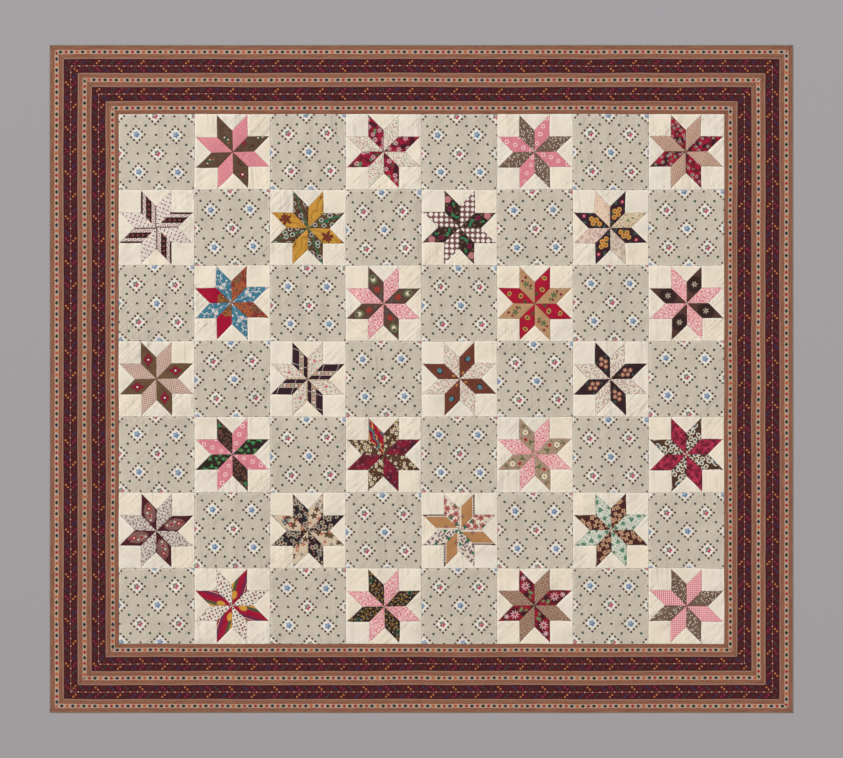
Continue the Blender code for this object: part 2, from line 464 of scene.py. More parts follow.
def rectangle(left, foot, right, top):
    """The outline in (x, z) of an upright rectangle."""
    return [(left, foot), (right, foot), (right, top), (left, top)]


def cut_patch(shape, corners, cell, seams):
    """Adds one flat patch in (x, z) with a convex outline, cut from a grid.

    Lines at the depths of the seam and of its turned edge are cut in as well, and each
    vertex keeps its distance from the nearest edge.
    """
    low = [min(corner[i] for corner in corners) for i in (0, 1)]
    high = [max(corner[i] for corner in corners) for i in (0, 1)]
    wide, tall = high[0] - low[0] + 0.002, high[1] - low[1] + 0.002
    piece = bmesh.new()
    bmesh.ops.create_grid(piece, x_segments=max(2, round(wide / cell)),
                          y_segments=max(2, round(tall / cell)), size=0.5)
    for vert in piece.verts:
        vert.co = ((low[0] + high[0]) / 2 + vert.co.x * wide, 0.0,
                   (low[1] + high[1]) / 2 + vert.co.y * tall)
    edges = []
    for index, (x, z) in enumerate(corners):
        next_x, next_z = corners[(index + 1) % len(corners)]
        along = Vector((next_x - x, next_z - z)).normalized()
        edges.append((x, z, along.y, -along.x))
    for deep in (0.0, *seams):
        for x, z, out_x, out_z in edges:
            point = (x - out_x * deep, 0.0, z - out_z * deep)
            everything = piece.verts[:] + piece.edges[:] + piece.faces[:]
            bmesh.ops.bisect_plane(piece, geom=everything, dist=1e-6, plane_co=point,
                                   plane_no=(out_x, 0.0, out_z), clear_outer=not deep)
    bmesh.ops.remove_doubles(piece, verts=piece.verts, dist=0.0002)
    made = {}
    distance = shape.verts.layers.float["seam"]
    for vert in piece.verts:
        copy = shape.verts.new(vert.co)
        copy[distance] = max(0.0, min((x - vert.co.x) * out_x + (z - vert.co.z) * out_z
                                      for x, z, out_x, out_z in edges))
        made[vert] = copy
    faces = [shape.faces.new([made[vert] for vert in face.verts]) for face in piece.faces]
    piece.free()
    return faces


def new_cloth():
    """An empty bmesh with the layers that every piece of cloth carries."""
    shape = bmesh.new()
    shape.verts.layers.float.new("seam")
    shape.faces.layers.float.new("patch")
    shape.loops.layers.uv.new("Cloth")
    return shape


def map_cloth(shape, faces, origin, along, shift=(0.0, 0.0)):
    """Gives faces the cloth's own coordinates in metres: where it was cut from the bolt."""
    cloth = shape.loops.layers.uv["Cloth"]
    cos, sin = math.cos(along), math.sin(along)
    for face in faces:
        for loop in face.loops:
            x, z = loop.vert.co.x - origin[0], loop.vert.co.z - origin[1]
            loop[cloth].uv = (x * cos + z * sin + shift[0], z * cos - x * sin + shift[1])


def turn_faces(shape, facing):
    """Turns a flat piece's faces to the front (-1) or the back (1)."""
    bmesh.ops.recalc_face_normals(shape, faces=shape.faces)
    if sum(face.normal.y for face in shape.faces) * facing < 0:
        bmesh.ops.reverse_faces(shape, faces=shape.faces)


def finish_cloth(name, shape, materials, thick=CLOTH_THICK):
    """Makes the drawn cloth an object of its thickness, which rides on the quilt."""
    for face in shape.faces:
        face.smooth = True
    cloth = add_object(name, shape)
    for material in materials:
        cloth.data.materials.append(material)
    layers = cloth.modifiers.new("thickness", "SOLIDIFY")
    layers.thickness = thick
    layers.offset = -1.0
    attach(cloth, "quilt")
    return cloth


def muslin_colours(pale, warm, grey):
    """Unbleached muslin with faint clouds of tone and slanting lines of painted wrinkle shade, a
    little different in each patch.
    """

    def paint(tree, at):
        patch = place(tree, "ShaderNodeAttribute", attribute_name="patch")["Fac"]
        ramp = place(tree, "ShaderNodeValToRGB", {0: patch})
        ramp.node.color_ramp.elements[0].color = warm
        ramp.node.color_ramp.elements[1].color = grey
        ramp.node.color_ramp.elements.new(0.5).color = pale
        cloud = clouds(tree, at, 9.0, 3.0)
        # Painted shade: the slanting streaks darken the colour where small diagonal wrinkles
        # would be, while the clouds are the muslin's own uneven tone.
        wrinkle_shade_at = place(tree, "ShaderNodeMapping",
                          {"Vector": at, "Rotation": (0, 0, 0.6), "Scale": (22, 90, 1)})
        tone_and_wrinkle_shade = cloud * 0.6 + clouds(tree, wrinkle_shade_at[0], 1.0) * 0.4
        much = tone_and_wrinkle_shade.scaled(1.6, -0.55).clamped()
        return mixed(tree, much * 0.35, ramp[0], dye(214, 198, 168))

    return paint


def set_patch_tone(shape, faces, tone):
    """Marks faces with the tone of the bolt that they were cut from."""
    layer = shape.faces.layers.float["patch"]
    for face in faces:
        face[layer] = tone


def draw_chance(*numbers):
    """A repeatable number from 0 to 1 for a piece."""
    value = math.sin(sum(number * scale for number, scale in
                         zip(numbers, (12.9898, 78.233, 37.719, 9.131)))) * 43758.5453
    return value - math.floor(value)


BACKING_CELL = 0.014
backing_muslin = cloth_material("backing_muslin", muslin_colours(
    dye(226, 213, 186), dye(222, 206, 176), dye(216, 206, 184)), line=0.45, slack=0.0022)
for index, name in enumerate(("left", "middle", "right")):
    low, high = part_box(f"backing_{name}")
    shape = new_cloth()
    faces = cut_patch(shape, rectangle(low.x, low.z, high.x, high.z), BACKING_CELL,
                      (0.0015, 0.006))
    set_patch_tone(shape, faces, 0.25 + 0.25 * index)
    map_cloth(shape, faces, (low.x, low.z), 0.0, (index * 0.9, 0.0))
    distance = shape.verts.layers.float["seam"]
    for vert in shape.verts:
        x, z = vert.co.x, vert.co.z
        tuck = 0.0003 * max(0.0, 1 - vert[distance] / 0.0015)
        loose = freedom(z) * min(1.0, vert[distance] / 0.03)
        vert.co.y = high.y + hang(x, z) - tuck + loose * max(0.0, 0.0006 + rumple(x + 5, z))
    turn_faces(shape, 1)
    backing = finish_cloth(f"backing_{name}_cloth", shape, [backing_muslin])
    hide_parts(f"backing_{name}")


# ---------------------------------------------------------------- sleeve
# A strip of muslin, hemmed at both ends and sewn to the backing along two folds. It makes
# a loop round the pole, which holds up the whole quilt.

SLEEVE_CELL = 0.012
SLEEVE_STEPS = 28
STITCH_PITCH = 0.008
low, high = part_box("sleeve")
pole_low, pole_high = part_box("pole")
pole_radius = (pole_high.z - pole_low.z) / 2
bore = pole_radius + 0.0006
above, below = high.z - pole_z, pole_z - low.z


def sleeve_section():
    """Outer outline in (y, z): up the backing, over the fold and round behind the pole."""
    out = bore + CLOTH_THICK
    start = math.pi - 2 * math.atan2(above, out)
    end = -math.pi + 2 * math.atan2(below, out)
    points = [(low.y, pole_z - below + 0.003), (low.y, pole_z - below / 2),
              (low.y, pole_z - 0.01), (low.y, pole_z + above - 0.002),
              (low.y + 0.0005, pole_z + above)]
    for step in range(SLEEVE_STEPS + 1):
        angle = start + (end - start) * step / SLEEVE_STEPS
        points.append((out * math.cos(angle), pole_z + out * math.sin(angle)))
    last = points[-1]
    for step in range(1, 8):
        part = step / 8
        points.append((last[0] + (low.y + 0.001 - last[0]) * part,
                       last[1] + (pole_z - below - last[1]) * part))
    points.append((low.y + 0.0006, pole_z - below))
    return points


def sleeve_stitches(points):
    """Small slanting stitches that catch the sleeve's two folds to the backing."""
    shape = bmesh.new()
    for z, lean in ((points[4][1] + 0.0004, 0.6), (points[-1][1] - 0.0004, -0.6)):
        for index in range(round((high.x - low.x) / STITCH_PITCH)):
            x = low.x + (index + 0.5) * STITCH_PITCH
            turn = Matrix.Rotation(lean + 0.2 * noise.noise(Vector((x * 90, z, 0))), 4, "Y")
            at = Matrix.Translation((x, low.y + hang(x, z) + 0.0002, z))
            bmesh.ops.create_cone(shape, segments=6, radius1=0.00022, radius2=0.00022,
                                  depth=0.0026, cap_ends=True, matrix=at @ turn)
    stitches = add_object("sleeve_stitches", shape)
    material, tree, shader = new_material("sewing_thread")
    at = place(tree, "ShaderNodeTexCoord")["Object"]
    twist = clouds(tree, at, 1500.0)
    shader.feed({"Base Color": mixed(tree, twist, dye(224, 214, 194), dye(244, 238, 224)),
                 "Roughness": 0.8})
    stitches.data.materials.append(material)
    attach(stitches, "quilt")
    return stitches


points = sleeve_section()
lengths = [0.0]
for (y0, z0), (y1, z1) in zip(points, points[1:]):
    lengths.append(lengths[-1] + math.hypot(y1 - y0, z1 - z0))
shape = new_cloth()
cloth = shape.loops.layers.uv["Cloth"]
distance = shape.verts.layers.float["seam"]
steps = round((high.x - low.x) / SLEEVE_CELL)
rows = []
for index in range(steps + 1):
    x = low.x + (high.x - low.x) * index / steps
    row = []
    for number, (y, z) in enumerate(points):
        drop = min(max((pole_z - 0.022 - z) / 0.02, 0.0), 1.0)
        if number > 5 and number < len(points) - 1:
            fold = 0.5 + noise.noise(Vector((x * 9, 3.3, z * 4)))
            near = min(1.0, (z - points[-1][1]) / 0.02)
            y += 0.0032 * drop * near * max(fold, 0.0)
        vert = shape.verts.new((x, y, z))
        vert[distance] = min(x - low.x, high.x - x, abs(lengths[-1] - lengths[number]),
                             abs(lengths[4] - lengths[number]) + 0.0002)
        row.append(vert)
    rows.append(row)
for index in range(steps):
    for number in range(len(points) - 1):
        ring = [(index, number), (index, number + 1), (index + 1, number + 1),
                (index + 1, number)]
        face = shape.faces.new([rows[i][j] for i, j in ring])
        for loop, (i, j) in zip(face.loops, ring):
            loop[cloth].uv = (SLEEVE_CELL * i, lengths[j])
set_patch_tone(shape, shape.faces, 0.7)
outer = max(shape.faces, key=lambda face: face.calc_center_median().y)
if outer.normal.y < 0:
    bmesh.ops.reverse_faces(shape, faces=shape.faces)
sleeve_muslin = cloth_material("sleeve_muslin", muslin_colours(
    dye(222, 209, 182), dye(220, 203, 172), dye(212, 202, 180)), line=0.3)
sleeve = finish_cloth("sleeve_cloth", shape, [sleeve_muslin])
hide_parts("sleeve")
sleeve_stitches(points)


# ---------------------------------------------------------------- batting
# A thin, soft layer of carded cotton that lies loose between the top and the backing. It
# reaches the binding on all four sides.

BATTING_CELL = 0.014


def cotton_colours(tree, at):
    """Undyed cotton with a few specks of leaf."""
    cloud = clouds(tree, at, 40.0, 4.0)
    speck = clouds(tree, at, 600.0)
    fleck = speck.scaled(12.0, -8.6).clamped()
    fluff = mixed(tree, cloud, dye(238, 232, 216), dye(226, 218, 198))
    return mixed(tree, fleck, fluff, dye(130, 104, 72))


low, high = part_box("batting")
shape = new_cloth()
faces = cut_patch(shape, rectangle(low.x, low.z, high.x, high.z), BATTING_CELL, ())
map_cloth(shape, faces, (low.x, low.z), 0.0)
for vert in shape.verts:
    vert.co.y = low.y + 0.0003 + hang(vert.co.x, vert.co.z)
turn_faces(shape, -1)
batting = finish_cloth("batting_cotton", shape,
                       [cloth_material("batting_cotton", cotton_colours, bump=1.0)],
                       thick=high.y - low.y - 0.0007)
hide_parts("batting")


# ---------------------------------------------------------------- muslin of the star blocks
# Four squares and four triangles of unbleached muslin are set into each star. Their seams
# are pressed under, and the turned edges show through as a paler strip.

PATCH_CELL = 0.008
TOP_SEAMS = (0.0012, 0.0034, TURNED_EDGE)
front_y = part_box("star_r1c2")[0].y
row_low, row_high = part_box("row_1")
field_left, field_right = row_low.x, row_high.x
field_top = row_high.z
BLOCKS_ACROSS = 8
block = (field_right - field_left) / BLOCKS_ACROSS
star_low, star_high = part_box("star_r1c2")
star_half = (star_high.x - star_low.x) / 2
side = star_half / (1 + math.sqrt(0.5))  # of a diamond
notch = side * math.sqrt(0.5)
STAR_BLOCKS = [(row, column) for row in range(1, 8)
               for column in range(1 + row % 2, 9, 2)]


def pulled(x, z):
    """Where a point of the top comes to lie once hand sewing has pulled its seams askew."""
    column, row = (x - field_left) / block, (field_top - z) / block
    askew_x = 0.0016 * noise.noise(Vector((x * 6.1, 2.2, z * 6.1)))
    askew_z = 0.0016 * noise.noise(Vector((x * 6.1, 7.9, z * 6.1)))
    if 0 < column < 8 and 0 < row < 7:
        off_x, off_z = column % 1 - 0.5, row % 1 - 0.5
        keep = 1 - (2 * max(abs(off_x), abs(off_z))) ** 6
        turn = 0.05 * (draw_chance(int(column), int(row), 7) - 0.5) * keep * block
        move = 0.0045 * keep
        askew_x += turn * off_z + move * (draw_chance(int(column), int(row), 3) - 0.5)
        askew_z += turn * off_x + move * (draw_chance(int(column), int(row), 4) - 0.5)
    inside = min(1.0, max(0.0, min(x - cut_left, cut_right - x, z - cut_foot,
                                   cut_top - z)) / 0.05)
    return x + askew_x * inside, z + askew_z * inside


def lie_on_top(shape, turned=0.0, slack=1.0, cushion=0.0011):
    """Sets each vertex of the top at its depth: sunk in the seams, soft between them."""
    distance = shape.verts.layers.float["seam"]
    for vert in shape.verts:
        vert.co.x, vert.co.z = pulled(vert.co.x, vert.co.z)
        x, z, from_seam = vert.co.x, vert.co.z, vert[distance]
        sunk = 0.0008 * math.exp(-(from_seam / 0.0013) ** 2)
        ridge = turned * min(1.0, max(0.0, (TURNED_EDGE - from_seam) / 0.0012))
        ridge *= min(1.0, from_seam / 0.0012)
        swell = cushion * (1 - math.exp(-from_seam / 0.011))
        swell += slack * rumple(x, z) * min(1.0, from_seam / 0.014)
        vert.co.y = front_y - 0.0004 + hang(x, z) + sunk - 0.0003 * ridge - max(0.0, swell)


def block_centre(row, column):
    """Where the middle of a block lies in (x, z)."""
    low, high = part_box(f"row_{row}")
    return field_left + (column - 0.5) * block, (low.z + high.z) / 2


def turned_by(points, quarter, centre):
    """An outline turned by quarter turns and set round a centre."""
    cos, sin = round(math.cos(quarter * math.pi / 2)), round(math.sin(quarter * math.pi / 2))
    return [(centre[0] + x * cos - z * sin, centre[1] + x * sin + z * cos)
            for x, z in points]


top_muslin = cloth_material("top_muslin", muslin_colours(
    dye(238, 227, 207), dye(240, 226, 203), dye(236, 226, 209)),
    turned=0.3, line=0.2, slack=0.0072)
SQUARE = [(notch, notch), (block / 2, notch), (block / 2, block / 2), (notch, block / 2)]
WEDGE = [(side, 0), (star_half, -notch), (block / 2, -notch), (block / 2, notch),
         (star_half, notch)]
for row, column in STAR_BLOCKS:
    centre = block_centre(row, column)
    shape = new_cloth()
    for quarter in range(4):
        for kind, outline in enumerate((SQUARE, WEDGE)):
            faces = cut_patch(shape, turned_by(outline, quarter, centre), PATCH_CELL, TOP_SEAMS)
            chance = draw_chance(row, column, quarter, kind)
            set_patch_tone(shape, faces, chance)
            map_cloth(shape, faces, centre, round(chance * 3) * math.pi / 2,
                      (row * 1.3 + chance, column * 1.7))
    lie_on_top(shape, turned=1.0)
    turn_faces(shape, -1)
    ground = finish_cloth(f"muslin_r{row}c{column}", shape, [top_muslin])
    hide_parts(f"row_{row}")


# ---------------------------------------------------------------- stars
# Eight diamonds make each star, cut from two dress prints that take turns. In some stars
# every diamond shows the same flower of its print, and in others they were cut anywhere.


def sprig_group():
    """Motifs set out over the cloth: dots, leaves, petalled flowers, rings."""
    group, given, out = new_group("sprig", {
        "Under": "colour", "Cloth": "vector", "Origin": "vector",
        "Every": 0.02, "Scatter": 0.8, "Size": 0.004,
        "Stretch": 1.0, "Turn": 0.0, "Spin": 1.0,
        "Petals": 0.0, "Lobes": 0.0, "Keep": 1.0,
        "Ink": "colour", "Other": "colour", "Share": 1.0,
        "Heart": "colour", "Hub": 0.0, "Rim": "colour",
        "Ring": 0.0}, {"Colour": "colour"})
    local = place(group, "ShaderNodeVectorMath", {0: given["Cloth"], 1: given["Origin"]},
                  operation="SUBTRACT")[0]
    cells = place(group, "ShaderNodeTexVoronoi", {"Vector": local, "Scale": 1.0 / given["Every"],
                                                  "Randomness": given["Scatter"]},
                  voronoi_dimensions="2D")
    chance = place(group, "ShaderNodeSeparateColor", {0: cells["Color"]})
    away = place(group, "ShaderNodeVectorMath", {0: local, 1: cells["Position"]},
                 operation="SUBTRACT")[0]
    spin = chance[2] * (2 * math.pi) * given["Spin"]
    turned = place(group, "ShaderNodeVectorRotate",
                   {"Vector": away, "Angle": spin - given["Turn"]}, rotation_type="Z_AXIS")[0]
    at = place(group, "ShaderNodeSeparateXYZ", {0: turned})
    along = at[0] / given["Stretch"]
    far = (along * along + at[1] * at[1]).step("SQRT")
    wave = (given["Petals"] * at[1].step("ARCTAN2", along)).step("COSINE")
    dip = wave.scaled(-0.5, 0.5) * given["Lobes"]
    grown = given["Size"] * chance[0].scaled(0.3, 0.85)
    reach = grown * (1.0 - dip)
    soft = given["Size"] * 0.16

    def within(limit):
        """1 inside a distance from the motif's middle, with a slightly soft edge."""
        inside = (limit - far) / soft
        return (inside + 0.5).clamped()

    kept = chance[1].step("LESS_THAN", given["Keep"])
    second = chance[2].step("GREATER_THAN", given["Share"])
    ink = mixed(group, second, given["Ink"], given["Other"])
    rimless = given["Ring"].step("LESS_THAN", 0.01)
    core = reach * (rimless + 1.0 - given["Ring"])
    ink = mixed(group, within(core), given["Rim"], ink)
    hub = grown * given["Hub"]
    heart = within(hub) * given["Hub"].step("GREATER_THAN", 0.01)
    ink = mixed(group, heart, ink, given["Heart"])
    shown = within(reach) * kept
    mixed(group, shown, given["Under"], ink).into(out["Colour"])
    return group


def line_group():
    """Fine lines: straight ones at a pitch, or winding ones."""
    group, given, out = new_group("lines", {
        "Under": "colour", "Cloth": "vector", "Ink": "colour",
        "Pitch": 0.01, "Width": 0.002, "Offset": 0.0,
        "Turn": 0.0, "Winding": 0.0}, {"Colour": "colour"})
    turned = place(group, "ShaderNodeVectorRotate",
                   {"Vector": given["Cloth"], "Angle": given["Turn"] * -1.0},
                   rotation_type="Z_AXIS")[0]
    bend = clouds(group, given["Cloth"], 0.9 / given["Pitch"], 1.0)
    swing = (bend - 0.5) * given["Winding"]
    across = place(group, "ShaderNodeSeparateXYZ", {0: turned})[1]
    across = across + swing - given["Offset"]
    half = given["Pitch"] * 0.5
    off = across.step("WRAP", half, half * -1.0).step("ABSOLUTE")
    inside = given["Width"] * 0.5 - off
    line = inside.scaled(2500.0, 0.5).clamped()
    mixed(group, line, given["Under"], given["Ink"]).into(out["Colour"])
    return group


sprig = sprig_group()
lines = line_group()


def motif(every, size, ink, **more):
    """One layer of motifs of a print, in millimetres and shade-card colours."""
    return {"Every": every / 1000, "Size": size / 1000, "Ink": dye(*ink), **more}


def one(at, size, ink, **more):
    """A single motif at a place in the diamond, measured outwards from its middle."""
    return motif(8000, size, ink, Scatter=0.0, Spin=0.0,
                 Origin=(at[0] / 1000, at[1] / 1000, 0), **more)


def band(pitch, width, ink, offset=0.0, turn=0.0, winding=0.0):
    """Lines of one colour, in millimetres, turned by degrees."""
    return {"Pitch": pitch / 1000, "Width": width / 1000, "Ink": dye(*ink),
            "Offset": offset / 1000, "Turn": math.radians(turn), "Winding": winding / 1000}


def printed(first, second, grain, *layers, contrast=1.2):
    """How to draw a print: a ground of two close shades, then its layers in order."""

    def paint(tree, at):
        cloud = clouds(tree, at, grain)
        tone = cloud.scaled(2 * contrast, 0.5 - contrast).clamped()
        colour = mixed(tree, tone, dye(*first), dye(*second))
        for layer in layers:
            inks = {key: dye(*value) if key in ("Other", "Heart", "Rim") else value
                    for key, value in layer.items() if key != "Tilt"}
            group = sprig if "Every" in layer else lines
            laid = at
            if "Tilt" in layer:
                laid = place(tree, "ShaderNodeVectorRotate",
                             {"Vector": at, "Angle": -layer["Tilt"]}, rotation_type="Z_AXIS")[0]
            colour = use(tree, group, {"Under": colour, "Cloth": laid, **inks})["Colour"]
        return colour

    return paint


